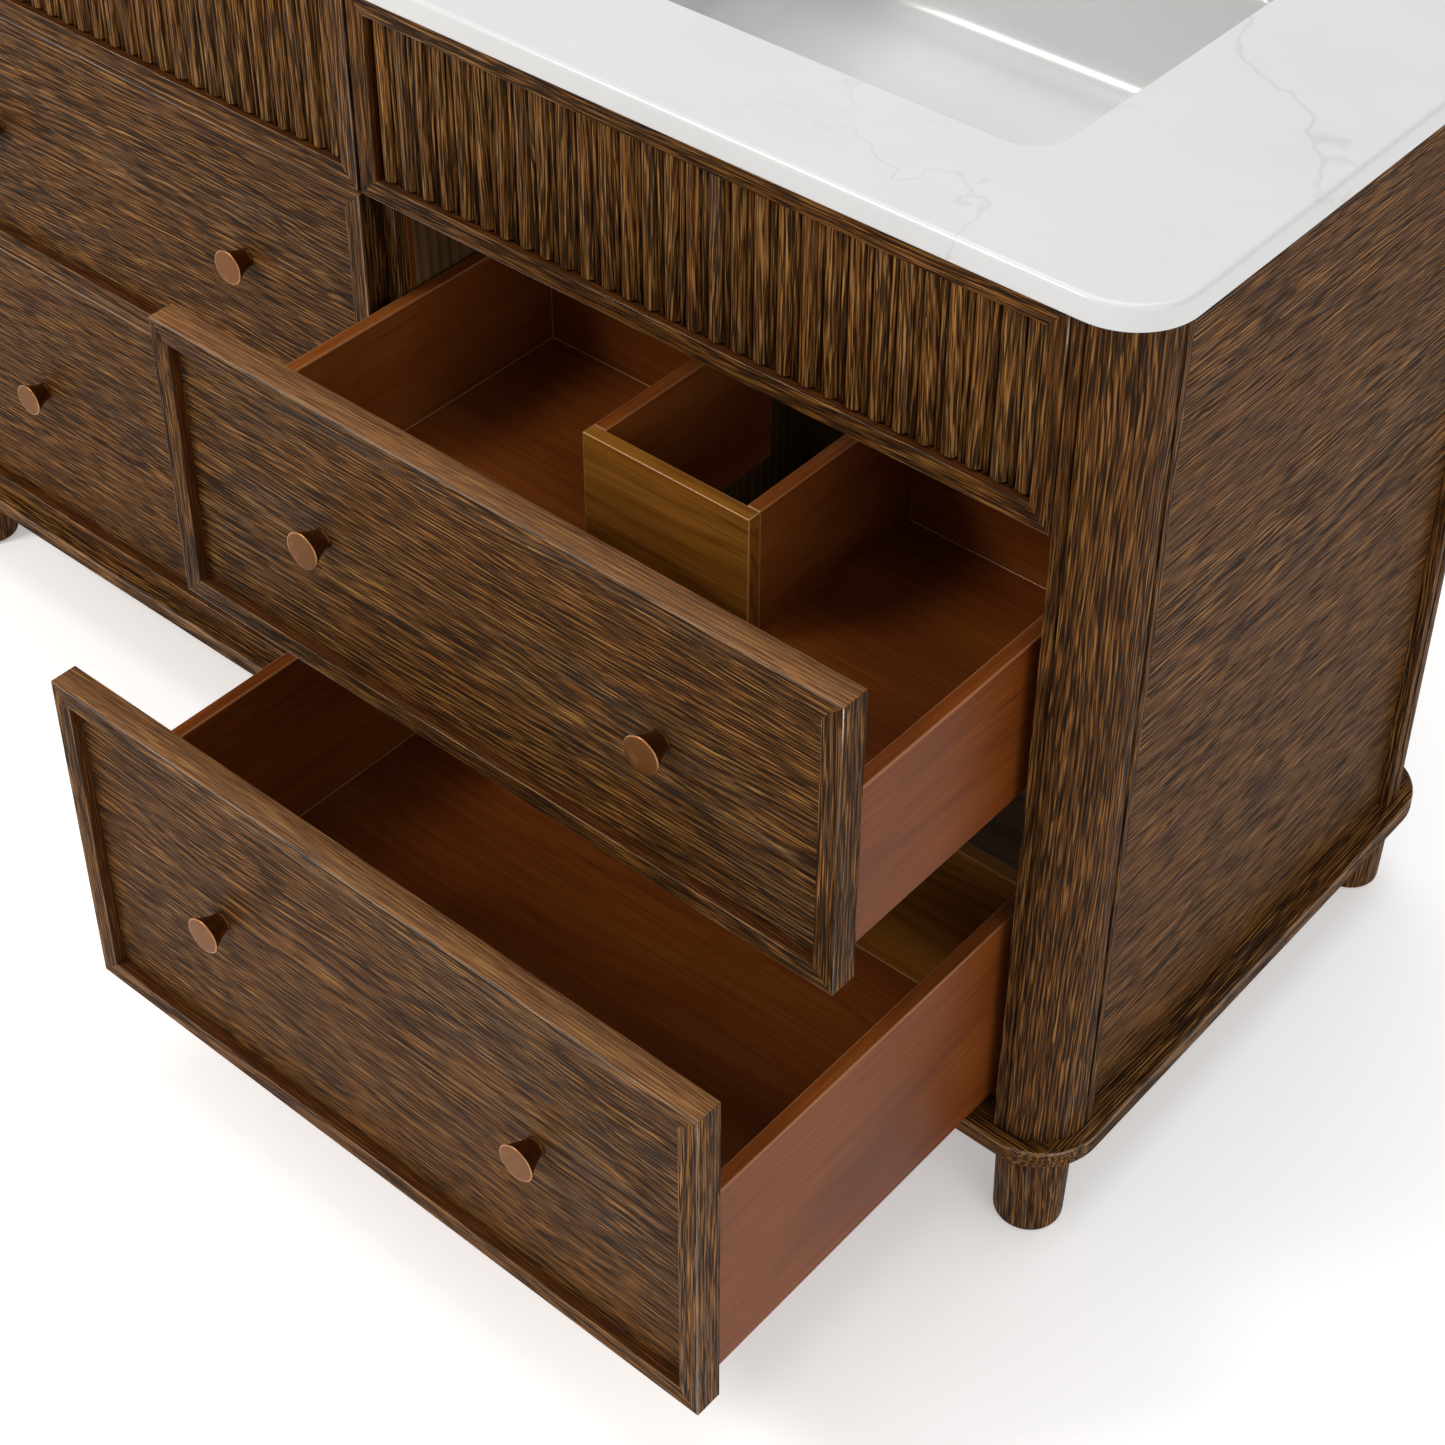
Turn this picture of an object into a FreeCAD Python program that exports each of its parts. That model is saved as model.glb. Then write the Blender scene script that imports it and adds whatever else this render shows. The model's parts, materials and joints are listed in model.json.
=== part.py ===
"""Two-bay bathroom vanity cabinet with reeded false fronts and four drawers.

Units are millimetres. Z = 0 is the floor, X = 0 is the middle of the cabinet and
Y = 0 is the plane of the closed drawer fronts; +Y runs back towards the wall.
The two right-hand drawers are modelled part way open.
"""
import FreeCAD, Part
import math
import os

import Sketcher

V = FreeCAD.Vector
X_AXIS = V(1, 0, 0)
Y_AXIS = V(0, 1, 0)
Z_AXIS = V(0, 0, 1)
TOLERANCE = 1e-3

doc = FreeCAD.newDocument("VanityCabinet")
exported = []

# --------------------------------------------------------------------------
# Driving dimensions
# --------------------------------------------------------------------------
PARAMETERS = [
    # overall carcass
    ("half_width", 675.0, "cabinet centre to the outer face of a corner post"),
    ("carcass_depth", 540.0, "front face to the back of the rear posts"),
    ("carcass_top", 845.0, "floor to the underside of the countertop"),
    ("edge_ease", 1.0, "small round on board edges"),
    # base
    ("leg_height", 94.0, "floor to the underside of the base board"),
    ("leg_foot_radius", 27.0, "leg radius near the floor"),
    ("leg_top_radius", 29.0, "leg radius under the base board"),
    ("leg_foot_round", 5.0, "rounding of the foot"),
    ("leg_x", 641.0, "cabinet centre to leg axis"),
    ("leg_inset", 31.0, "carcass front or back to leg axis"),
    ("base_thick", 16.0, "base board thickness"),
    ("base_overhang", 12.0, "base board beyond the posts"),
    ("base_ease", 2.0, "round on the base board edges"),
    # corner posts
    ("post_width", 52.5, "post size across the front"),
    ("post_depth", 52.0, "post size along the side"),
    ("post_radius", 41.5, "quarter-round of the post"),
    ("quirk_width", 2.4, "groove beside the quarter-round"),
    ("quirk_depth", 2.4, "groove depth"),
    # panels and rails
    ("panel_thick", 18.0, "side panel and partition thickness"),
    ("side_recess", 10.0, "side panel behind the post face"),
    ("floor_thick", 9.0, "carcass floor thickness"),
    ("carcass_front", 24.0, "front edge of the inner boards"),
    ("back_thick", 6.0, "back board thickness"),
    ("back_inset", 4.0, "back board in from the carcass back"),
    ("back_top", 430.0, "top of the back board"),
    ("rail_height", 85.0, "top rail height"),
    ("front_rail_thick", 21.5, "front top rail thickness"),
    ("rear_rail_thick", 20.0, "rear top rail thickness"),
    # fronts
    ("front_gap", 4.0, "gap between neighbouring fronts"),
    ("front_width", 618.5, "width of every front"),
    ("front_thick", 22.5, "front frame thickness"),
    ("frame_width", 16.5, "face width of the mitred frame"),
    ("frame_ease", 1.2, "round on the frame arrises"),
    ("mitre_width", 0.5, "width of the mitre seam"),
    ("mitre_depth", 0.6, "depth of the mitre seam"),
    ("panel_recess", 9.5, "flat panel behind the frame face"),
    ("front_panel_thick", 13.0, "flat panel thickness"),
    ("false_front_bottom", 673.0, "floor to the false front"),
    ("false_front_height", 169.0, "false front height"),
    ("upper_front_bottom", 422.0, "floor to the upper drawer front"),
    ("upper_front_height", 247.0, "upper drawer front height"),
    ("lower_front_bottom", 114.0, "floor to the lower drawer front"),
    ("lower_front_height", 304.0, "lower drawer front height"),
    # reeded panel
    ("reed_count", 30, "reeds across one panel"),
    ("reed_width", 15.6, "width of one reed"),
    ("reed_recess", 11.0, "backing board behind the frame face"),
    ("reed_backing", 11.5, "backing board thickness"),
    ("reed_clearance", 1.5, "reed ends short of the frame"),
    # drawer boxes
    ("open_upper", 205.0, "upper right drawer pulled out"),
    ("open_lower", 336.0, "lower right drawer pulled out"),
    ("box_width", 600.0, "outer width of a drawer box"),
    ("box_length", 368.5, "outer length of a drawer box"),
    ("box_wall", 12.0, "drawer box board thickness"),
    ("box_ease", 1.5, "round on drawer box edges"),
    ("box_floor_thick", 6.0, "drawer floor thickness"),
    ("box_floor_rise", 20.0, "drawer floor above the box edge"),
    ("upper_box_bottom", 436.0, "floor to the upper box"),
    ("upper_box_height", 138.0, "upper box height"),
    ("lower_box_bottom", 126.0, "floor to the lower box"),
    ("lower_box_height", 187.0, "lower box height"),
    ("notch_width", 156.0, "outer width of the pipe notch"),
    ("notch_front", 168.5, "drawer box front to the notch"),
    ("notch_drop", 7.0, "notch boards above the box edge"),
    # runners
    ("runner_length", 338.0, "runner length"),
    ("runner_plate", 5.0, "runner plate thickness"),
    ("runner_width", 18.0, "runner rail width"),
    ("runner_height", 18.0, "runner rail height above its plate"),
    ("runner_inset", 16.0, "box side face to the runner rail"),
    ("runner_gap", 2.0, "runner plate below the drawer box"),
    # knobs
    ("knob_face_radius", 15.2, "knob radius at the face"),
    ("knob_neck_radius", 8.0, "knob radius at the neck"),
    ("knob_length", 20.0, "knob length"),
    ("knob_spacing", 314.6, "distance between the two knobs"),
    # countertop and sinks
    ("top_thick", 19.0, "countertop thickness"),
    ("top_overhang", 8.0, "countertop beyond the posts"),
    ("top_corner", 49.5, "countertop corner radius"),
    ("top_ease", 4.0, "round on the upper arris"),
    ("top_under_ease", 1.5, "round on the lower arris"),
    ("cutout_width", 427.0, "sink opening across"),
    ("cutout_depth", 305.0, "sink opening front to back"),
    ("cutout_corner", 28.0, "sink opening corner radius"),
    ("cutout_ease", 2.0, "round on the opening arris"),
    ("cutout_front", 105.0, "carcass front to the sink opening"),
    ("faucet_radius", 17.5, "faucet hole radius"),
    ("faucet_spacing", 101.6, "between neighbouring faucet holes"),
    ("faucet_setback", 65.0, "sink opening to the faucet holes"),
    ("bowl_reveal", 3.0, "bowl wider than the opening on each side"),
    ("bowl_corner", 31.0, "bowl corner radius"),
    ("bowl_depth", 121.0, "bowl depth below the countertop"),
    ("bowl_wall", 9.0, "bowl wall thickness"),
    ("bowl_round", 26.0, "round between bowl wall and floor"),
    ("bowl_draft", 3.0, "bowl wall lean in degrees"),
    ("flange_width", 22.0, "sink flange beyond the bowl mouth"),
    ("flange_thick", 10.0, "sink flange thickness"),
    ("drain_hole_radius", 22.5, "hole in the bowl floor"),
    ("drain_flange_radius", 32.0, "drain flange radius"),
    ("drain_body_radius", 22.0, "drain body radius"),
    ("drain_bore_radius", 17.0, "drain bore radius"),
    ("drain_tail", 72.0, "drain tail below the bowl"),
]

sheet = doc.addObject("Spreadsheet::Sheet", "Params")
sheet.Label = "Params"
size = {}
for row, (alias, value, note) in enumerate(PARAMETERS, start=1):
    sheet.set(f"A{row}", alias)
    sheet.set(f"B{row}", str(value))
    sheet.set(f"C{row}", note)
    sheet.setAlias(f"B{row}", alias)
    size[alias] = value
doc.recompute()


def p(alias):
    """Expression that reads one driving dimension."""
    return f"Params.{alias}"


def place(obj, x="0", y="0", z="0"):
    """Bind an object's position to expressions."""
    for axis, expression in zip("xyz", (x, y, z)):
        obj.setExpression(f"Placement.Base.{axis}", f"({expression}) * 1 mm")


# --------------------------------------------------------------------------
# PartDesign helpers
# --------------------------------------------------------------------------
def new_body(label):
    """Start a body whose label is also its file name."""
    body = doc.addObject("PartDesign::Body", label)
    body.Label = label
    body.AllowCompound = True
    return body


def new_sketch(body, name, plane="XY_Plane", offset="0"):
    """Add a sketch on one of the body's own origin planes."""
    sketch = body.newObject("Sketcher::SketchObject", name)
    origin_plane = [o for o in body.Origin.OriginFeatures if o.Role == plane][0]
    sketch.AttachmentSupport = (origin_plane, [""])
    sketch.MapMode = "FlatFace"
    if offset != "0":
        sketch.setExpression("AttachmentOffset.Base.z", f"({offset}) * 1 mm")
    return sketch


def add_rectangle(sketch, x, y, width, height):
    """Add a rectangle whose lower-left corner and size are expressions."""
    first = sketch.GeometryCount
    corners = [V(1, 1, 0), V(9, 1, 0), V(9, 7, 0), V(1, 7, 0)]
    for k in range(4):
        sketch.addGeometry(Part.LineSegment(corners[k], corners[(k + 1) % 4]))
    for k in range(4):
        sketch.addConstraint(
            Sketcher.Constraint("Coincident", first + k, 2, first + (k + 1) % 4, 1)
        )
    for k, kind in ((0, "Horizontal"), (1, "Vertical"), (2, "Horizontal"), (3, "Vertical")):
        sketch.addConstraint(Sketcher.Constraint(kind, first + k))
    drives = (
        (Sketcher.Constraint("DistanceX", first, 1, first, 2, 8.0), width),
        (Sketcher.Constraint("DistanceY", first + 1, 1, first + 1, 2, 6.0), height),
        (Sketcher.Constraint("DistanceX", -1, 1, first, 1, 1.0), x),
        (Sketcher.Constraint("DistanceY", -1, 1, first, 1, 1.0), y),
    )
    for constraint, expression in drives:
        index = sketch.addConstraint(constraint)
        sketch.setExpression(f"Constraints[{index}]", f"({expression}) * 1 mm")


def add_circle(sketch, x, y, radius):
    """Add a circle whose centre and radius are expressions."""
    index = sketch.addGeometry(Part.Circle(V(5, 5, 0), Z_AXIS, 3.0))
    drives = (
        (Sketcher.Constraint("Radius", index, 3.0), radius),
        (Sketcher.Constraint("DistanceX", -1, 1, index, 3, 5.0), x),
        (Sketcher.Constraint("DistanceY", -1, 1, index, 3, 5.0), y),
    )
    for constraint, expression in drives:
        number = sketch.addConstraint(constraint)
        sketch.setExpression(f"Constraints[{number}]", f"({expression}) * 1 mm")


def add_outline(sketch, points):
    """Add a closed outline of straight lines through plain points."""
    count = len(points)
    for k in range(count):
        sketch.addGeometry(Part.LineSegment(points[k], points[(k + 1) % count]))
    for k in range(count):
        sketch.addConstraint(Sketcher.Constraint("Coincident", k, 2, (k + 1) % count, 1))


def pad(body, sketch, length, reverse=False, taper=None):
    """Pad a sketch by an expression length."""
    feature = body.newObject("PartDesign::Pad", f"{sketch.Name}_pad")
    feature.Profile = sketch
    feature.setExpression("Length", f"({length}) * 1 mm")
    feature.Reversed = reverse
    if taper is not None:
        feature.setExpression("TaperAngle", f"({taper}) * 1 deg")
    body.Tip = feature
    doc.recompute()
    return feature


def pocket(body, sketch, depth=None, reverse=False, taper=None):
    """Cut a sketch out of the body, through everything when no depth is given."""
    before = body.Shape.Volume
    feature = body.newObject("PartDesign::Pocket", f"{sketch.Name}_pocket")
    feature.Profile = sketch
    feature.Reversed = reverse
    if depth is None:
        feature.Type = "ThroughAll"
    else:
        feature.setExpression("Length", f"({depth}) * 1 mm")
    if taper is not None:
        feature.setExpression("TaperAngle", f"({taper}) * 1 deg")
    body.Tip = feature
    doc.recompute()
    if body.Shape.Volume > before - TOLERANCE:
        raise RuntimeError(f"{body.Label}: {feature.Name} removed nothing")
    return feature


def edge_names(feature, test):
    """Names of the feature's edges that pass a test."""
    return [
        f"Edge{k}" for k, edge in enumerate(feature.Shape.Edges, start=1) if test(edge)
    ]


def along(edge, axis):
    """True for a straight edge parallel to an axis."""
    if edge.Curve.TypeId != "Part::GeomLine":
        return False
    return abs(abs(edge.tangentAt(edge.FirstParameter).dot(axis)) - 1) < 1e-6


def in_plane(edge, axis, value):
    """True when every point of an edge has one coordinate equal to a value."""
    box = edge.BoundBox
    low = V(box.XMin, box.YMin, box.ZMin).dot(axis)
    high = V(box.XMax, box.YMax, box.ZMax).dot(axis)
    return abs(low - value) < 1e-4 and abs(high - value) < 1e-4


def fillet(body, radius, test=None, name="ease"):
    """Round all edges, or those that pass a test, by an expression radius."""
    base = body.Tip
    names = [""] if test is None else edge_names(base, test)
    if not names:
        raise RuntimeError(f"{body.Label}: no edges to round")
    feature = body.newObject("PartDesign::Fillet", f"{body.Name}_{name}")
    feature.Base = (base, names)
    feature.UseAllEdges = test is None
    feature.setExpression("Radius", f"({radius}) * 1 mm")
    body.Tip = feature
    doc.recompute()
    return feature


def keep(obj):
    """Mark an object as one exported sub-part."""
    exported.append(obj)
    return obj


def mirrored(source, label, normal, base):
    """Mirror image of a finished sub-part."""
    image = doc.addObject("Part::Mirroring", label)
    image.Label = label
    image.Source = source
    image.Normal = normal
    image.Base = base
    doc.recompute()
    return keep(image)


def board(label, corner, extent, ease="edge_ease"):
    """Plain rectangular board with eased edges."""
    body = new_body(label)
    sketch = new_sketch(body, f"{label}_outline")
    add_rectangle(sketch, "0", "0", extent[0], extent[1])
    pad(body, sketch, extent[2])
    fillet(body, p(ease))
    place(body, *corner)
    return keep(body)


# --------------------------------------------------------------------------
# Base: legs and base board
# --------------------------------------------------------------------------
def leg(label, x, y):
    """Turned leg: a slight taper and a rounded foot."""
    body = new_body(label)
    sketch = new_sketch(body, f"{label}_profile", "XZ_Plane")
    foot = size["leg_foot_radius"]
    top = size["leg_top_radius"]
    height = size["leg_height"]
    soft = size["leg_foot_round"]
    diagonal = soft * (1 - math.sqrt(0.5))
    arc = Part.Arc(
        V(foot - soft, 0, 0), V(foot - diagonal, diagonal, 0), V(foot, soft, 0)
    )
    lines = (
        Part.LineSegment(V(0, 0, 0), V(foot - soft, 0, 0)),
        arc,
        Part.LineSegment(V(foot, soft, 0), V(top, height, 0)),
        Part.LineSegment(V(top, height, 0), V(0, height, 0)),
        Part.LineSegment(V(0, height, 0), V(0, 0, 0)),
    )
    for geometry in lines:
        sketch.addGeometry(geometry)
    links = ((0, 2, 1, 1), (1, 2, 2, 1), (2, 2, 3, 1), (3, 2, 4, 1), (4, 2, 0, 1))
    for a, a_end, b, b_end in links:
        sketch.addConstraint(Sketcher.Constraint("Coincident", a, a_end, b, b_end))
    sketch.addConstraint(Sketcher.Constraint("Coincident", 0, 1, -1, 1))
    sketch.addConstraint(Sketcher.Constraint("Horizontal", 0))
    sketch.addConstraint(Sketcher.Constraint("Horizontal", 3))
    sketch.addConstraint(Sketcher.Constraint("Vertical", 4))
    drives = (
        (Sketcher.Constraint("DistanceX", 4, 2, 1, 2, foot), p("leg_foot_radius")),
        (Sketcher.Constraint("DistanceX", 3, 2, 3, 1, top), p("leg_top_radius")),
        (Sketcher.Constraint("DistanceY", 0, 1, 3, 2, height), p("leg_height")),
        (Sketcher.Constraint("DistanceY", 0, 2, 1, 2, soft), p("leg_foot_round")),
        (Sketcher.Constraint("DistanceX", 0, 2, 1, 2, soft), p("leg_foot_round")),
    )
    for constraint, expression in drives:
        index = sketch.addConstraint(constraint)
        sketch.setExpression(f"Constraints[{index}]", f"({expression}) * 1 mm")
    turned = body.newObject("PartDesign::Revolution", f"{label}_turned")
    turned.Profile = sketch
    turned.ReferenceAxis = (sketch, ["V_Axis"])
    turned.Angle = 360
    body.Tip = turned
    doc.recompute()
    place(body, x, y)
    return keep(body)


for side, sign in (("left", "-"), ("right", "")):
    leg(f"leg_front_{side}", f"{sign}{p('leg_x')}", p("leg_inset"))
    leg(
        f"leg_rear_{side}",
        f"{sign}{p('leg_x')}",
        f"{p('carcass_depth')} - {p('leg_inset')}",
    )


def is_vertical(edge):
    return along(edge, Z_AXIS)


base = new_body("base_board")
outline = new_sketch(base, "base_outline")
add_rectangle(
    outline,
    f"-{p('half_width')} - {p('base_overhang')}",
    f"-{p('base_overhang')}",
    f"2 * ({p('half_width')} + {p('base_overhang')})",
    f"{p('carcass_depth')} + 2 * {p('base_overhang')}",
)
pad(base, outline, p("base_thick"))
fillet(base, f"{p('post_radius')} + {p('base_overhang')}", is_vertical, "corners")
fillet(base, p("base_ease"), lambda e: not is_vertical(e))
place(base, z=p("leg_height"))
keep(base)
base_top = f"({p('leg_height')} + {p('base_thick')})"

# --------------------------------------------------------------------------
# Corner posts: a square post with one quarter-round corner between two quirks
# --------------------------------------------------------------------------
post = new_body("post_front_right")
outline = new_sketch(post, "post_outline")
add_rectangle(outline, "0", "0", p("post_width"), p("post_depth"))
pad(post, outline, f"{p('carcass_top')} - {base_top}")
fillet(
    post,
    p("post_radius"),
    lambda e: is_vertical(e)
    and abs(e.CenterOfMass.x - size["post_width"]) < TOLERANCE
    and abs(e.CenterOfMass.y) < TOLERANCE,
    "quarter_round",
)
quirks = new_sketch(post, "post_quirks")
add_rectangle(
    quirks,
    f"{p('post_width')} - {p('post_radius')} - {p('quirk_width')}",
    "0",
    p("quirk_width"),
    p("quirk_depth"),
)
add_rectangle(
    quirks,
    f"{p('post_width')} - {p('quirk_depth')}",
    p("post_radius"),
    p("quirk_depth"),
    f"1.6 * {p('quirk_width')}",
)
pocket(post, quirks, reverse=True)
place(post, f"{p('half_width')} - {p('post_width')}", "0", base_top)
keep(post)
middle = V(0, size["carcass_depth"] / 2, 0)
mirrored(post, "post_front_left", X_AXIS, V(0, 0, 0))
rear_post = mirrored(post, "post_rear_right", Y_AXIS, middle)
mirrored(rear_post, "post_rear_left", X_AXIS, V(0, 0, 0))

# --------------------------------------------------------------------------
# Carcass boards
# --------------------------------------------------------------------------
panel_outer = f"({p('half_width')} - {p('side_recess')})"
panel_length = f"{p('carcass_depth')} - 2 * {p('post_depth')}"
panel_height = f"{p('carcass_top')} - {base_top}"
inner_half = f"({p('half_width')} - {p('post_width')})"

board(
    "side_panel_right",
    (f"{panel_outer} - {p('panel_thick')}", p("post_depth"), base_top),
    (p("panel_thick"), panel_length, panel_height),
)
board(
    "side_panel_left",
    (f"-{panel_outer}", p("post_depth"), base_top),
    (p("panel_thick"), panel_length, panel_height),
)
carcass_floor = new_body("carcass_floor")
outline = new_sketch(carcass_floor, "floor_outline")
add_rectangle(
    outline,
    f"-{inner_half}",
    p("carcass_front"),
    f"2 * {inner_half}",
    f"{p('carcass_depth')} - {p('carcass_front')} - {p('back_inset')} - {p('back_thick')}",
)
pad(carcass_floor, outline, p("floor_thick"))
wings = new_sketch(carcass_floor, "floor_wings")
add_rectangle(
    wings,
    f"-{panel_outer} + {p('panel_thick')}",
    p("post_depth"),
    f"2 * ({panel_outer} - {p('panel_thick')})",
    panel_length,
)
pad(carcass_floor, wings, p("floor_thick"))
place(carcass_floor, z=base_top)
keep(carcass_floor)
floor_top = f"({base_top} + {p('floor_thick')})"
back_face = f"({p('carcass_depth')} - {p('back_inset')} - {p('back_thick')})"
board(
    "back_panel",
    (f"-{inner_half}", back_face, base_top),
    (f"2 * {inner_half}", p("back_thick"), f"{p('back_top')} - {base_top}"),
)
rail_bottom = f"({p('carcass_top')} - {p('rail_height')})"
board(
    "front_top_rail",
    (f"-{inner_half}", p("front_thick"), rail_bottom),
    (f"2 * {inner_half}", p("front_rail_thick"), p("rail_height")),
)
board(
    "rear_top_rail",
    (f"-{inner_half}", f"{p('carcass_depth')} - {p('rear_rail_thick')}", rail_bottom),
    (f"2 * {inner_half}", p("rear_rail_thick"), p("rail_height")),
)

partition = new_body("center_partition")
outline = new_sketch(partition, "partition_outline")
add_rectangle(
    outline, "0", "0", p("panel_thick"), f"{back_face} - {p('carcass_front')}"
)
pad(partition, outline, f"{p('carcass_top')} - {floor_top}")
fillet(partition, p("edge_ease"))
notches = new_sketch(
    partition, "partition_notches", offset=f"{rail_bottom} - {floor_top}"
)
add_rectangle(
    notches,
    "-1",
    "-1",
    f"{p('panel_thick')} + 2",
    f"{p('front_thick')} + {p('front_rail_thick')} - {p('carcass_front')} + 1",
)
add_rectangle(
    notches,
    "-1",
    f"{p('carcass_depth')} - {p('rear_rail_thick')} - {p('carcass_front')}",
    f"{p('panel_thick')} + 2",
    p("rear_rail_thick"),
)
pocket(partition, notches, reverse=True)
place(partition, f"-{p('panel_thick')} / 2", p("carcass_front"), floor_top)
keep(partition)


# --------------------------------------------------------------------------
# Fronts. A front is drawn flat and then stood up, facing -Y.
# --------------------------------------------------------------------------
def stand_up(body):
    """Turn a body drawn on the XY plane so that its +Z side faces -Y."""
    body.Placement.Rotation = FreeCAD.Rotation(X_AXIS, 90)


def mitre_seams(body, width, height, face):
    """Cut a fine seam across each of the four mitred corners."""
    sketch = new_sketch(body, f"{body.Name}_seams", offset=face)
    half = size["mitre_width"] / 2
    reach = size["frame_width"]
    corners = ((0, 0, 1, 1), (width, 0, -1, 1), (width, height, -1, -1), (0, height, 1, -1))
    for x, y, sx, sy in corners:
        first = sketch.GeometryCount
        start = V(x + sx * half * 2, y + sy * half * 2, 0)
        end = V(x + sx * (reach - half * 2), y + sy * (reach - half * 2), 0)
        aside = V(-sy, sx, 0) * (half * math.sqrt(0.5) * sx * sy)
        points = [start - aside, end - aside, end + aside, start + aside]
        for k in range(4):
            sketch.addGeometry(Part.LineSegment(points[k], points[(k + 1) % 4]))
        for k in range(4):
            sketch.addConstraint(
                Sketcher.Constraint("Coincident", first + k, 2, first + (k + 1) % 4, 1)
            )
    pocket(body, sketch, p("mitre_depth"))


def front_frame(label, height_alias, x, y, z):
    """Mitred frame around a front."""
    body = new_body(label)
    sketch = new_sketch(body, f"{label}_outline")
    add_rectangle(sketch, "0", "0", p("front_width"), p(height_alias))
    add_rectangle(
        sketch,
        p("frame_width"),
        p("frame_width"),
        f"{p('front_width')} - 2 * {p('frame_width')}",
        f"{p(height_alias)} - 2 * {p('frame_width')}",
    )
    pad(body, sketch, p("front_thick"))
    fillet(
        body,
        p("frame_ease"),
        lambda e: in_plane(e, Z_AXIS, size["front_thick"]) or is_outer_upright(e, height_alias),
    )
    mitre_seams(body, size["front_width"], size[height_alias], p("front_thick"))
    stand_up(body)
    place(body, x, f"{y} + {p('front_thick')}", z)
    return keep(body)


def is_outer_upright(edge, height_alias):
    """True for the four outer corner edges that run through a frame's thickness."""
    if not along(edge, Z_AXIS):
        return False
    centre = edge.CenterOfMass
    at_side = min(abs(centre.x), abs(centre.x - size["front_width"])) < TOLERANCE
    at_end = min(abs(centre.y), abs(centre.y - size[height_alias])) < TOLERANCE
    return at_side and at_end


def front_x(side):
    """Left edge of the fronts of one bay."""
    if side == "right":
        return f"{p('front_gap')} / 2"
    return f"-{p('front_gap')} / 2 - {p('front_width')}"


def bay_centre(side):
    """Middle of one bay's fronts."""
    sign = "" if side == "right" else "-"
    return f"{sign}({p('front_gap')} / 2 + {p('front_width')} / 2)"


inner_width = f"({p('front_width')} - 2 * {p('frame_width')})"


def reeded_panel(label, side):
    """Backing board with half-round reeds, set back inside the false front frame."""
    body = new_body(label)
    backing = new_sketch(body, f"{label}_backing")
    inner_height = f"({p('false_front_height')} - 2 * {p('frame_width')})"
    add_rectangle(backing, "0", "0", inner_width, p("reed_backing"))
    pad(body, backing, inner_height)
    profile = new_sketch(body, f"{label}_reed", offset=p("reed_clearance"))
    pitch = (size["front_width"] - 2 * size["frame_width"]) / size["reed_count"]
    radius = size["reed_width"] / 2
    centre = V(pitch / 2, 0, 0)
    arc = Part.ArcOfCircle(Part.Circle(centre, Z_AXIS, radius), math.pi, 2 * math.pi)
    profile.addGeometry(arc)
    profile.addGeometry(Part.LineSegment(centre + V(radius, 0, 0), centre - V(radius, 0, 0)))
    profile.addConstraint(Sketcher.Constraint("Coincident", 0, 2, 1, 1))
    profile.addConstraint(Sketcher.Constraint("Coincident", 1, 2, 0, 1))
    profile.addConstraint(Sketcher.Constraint("Horizontal", 1))
    drives = (
        (Sketcher.Constraint("Radius", 0, radius), f"{p('reed_width')} / 2"),
        (
            Sketcher.Constraint("DistanceX", -1, 1, 0, 3, pitch / 2),
            f"{inner_width} / {p('reed_count')} / 2",
        ),
    )
    for constraint, expression in drives:
        index = profile.addConstraint(constraint)
        profile.setExpression(f"Constraints[{index}]", f"({expression}) * 1 mm")
    profile.addConstraint(Sketcher.Constraint("PointOnObject", 0, 3, -1))
    reed = pad(body, profile, f"{inner_height} - 2 * {p('reed_clearance')}")
    row = body.newObject("PartDesign::LinearPattern", f"{label}_row")
    row.Originals = [reed]
    row.Direction = (profile, ["H_Axis"])
    row.setExpression(
        "Length",
        f"({inner_width} * ({p('reed_count')} - 1) / {p('reed_count')}) * 1 mm",
    )
    row.Occurrences = int(size["reed_count"])
    body.Tip = row
    doc.recompute()
    place(
        body,
        f"{front_x(side)} + {p('frame_width')}",
        p("reed_recess"),
        f"{p('false_front_bottom')} + {p('frame_width')}",
    )
    return keep(body)


for side in ("left", "right"):
    front_frame(
        f"false_front_frame_{side}",
        "false_front_height",
        front_x(side),
        "0",
        p("false_front_bottom"),
    )
    reeded_panel(f"reeded_panel_{side}", side)


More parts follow.
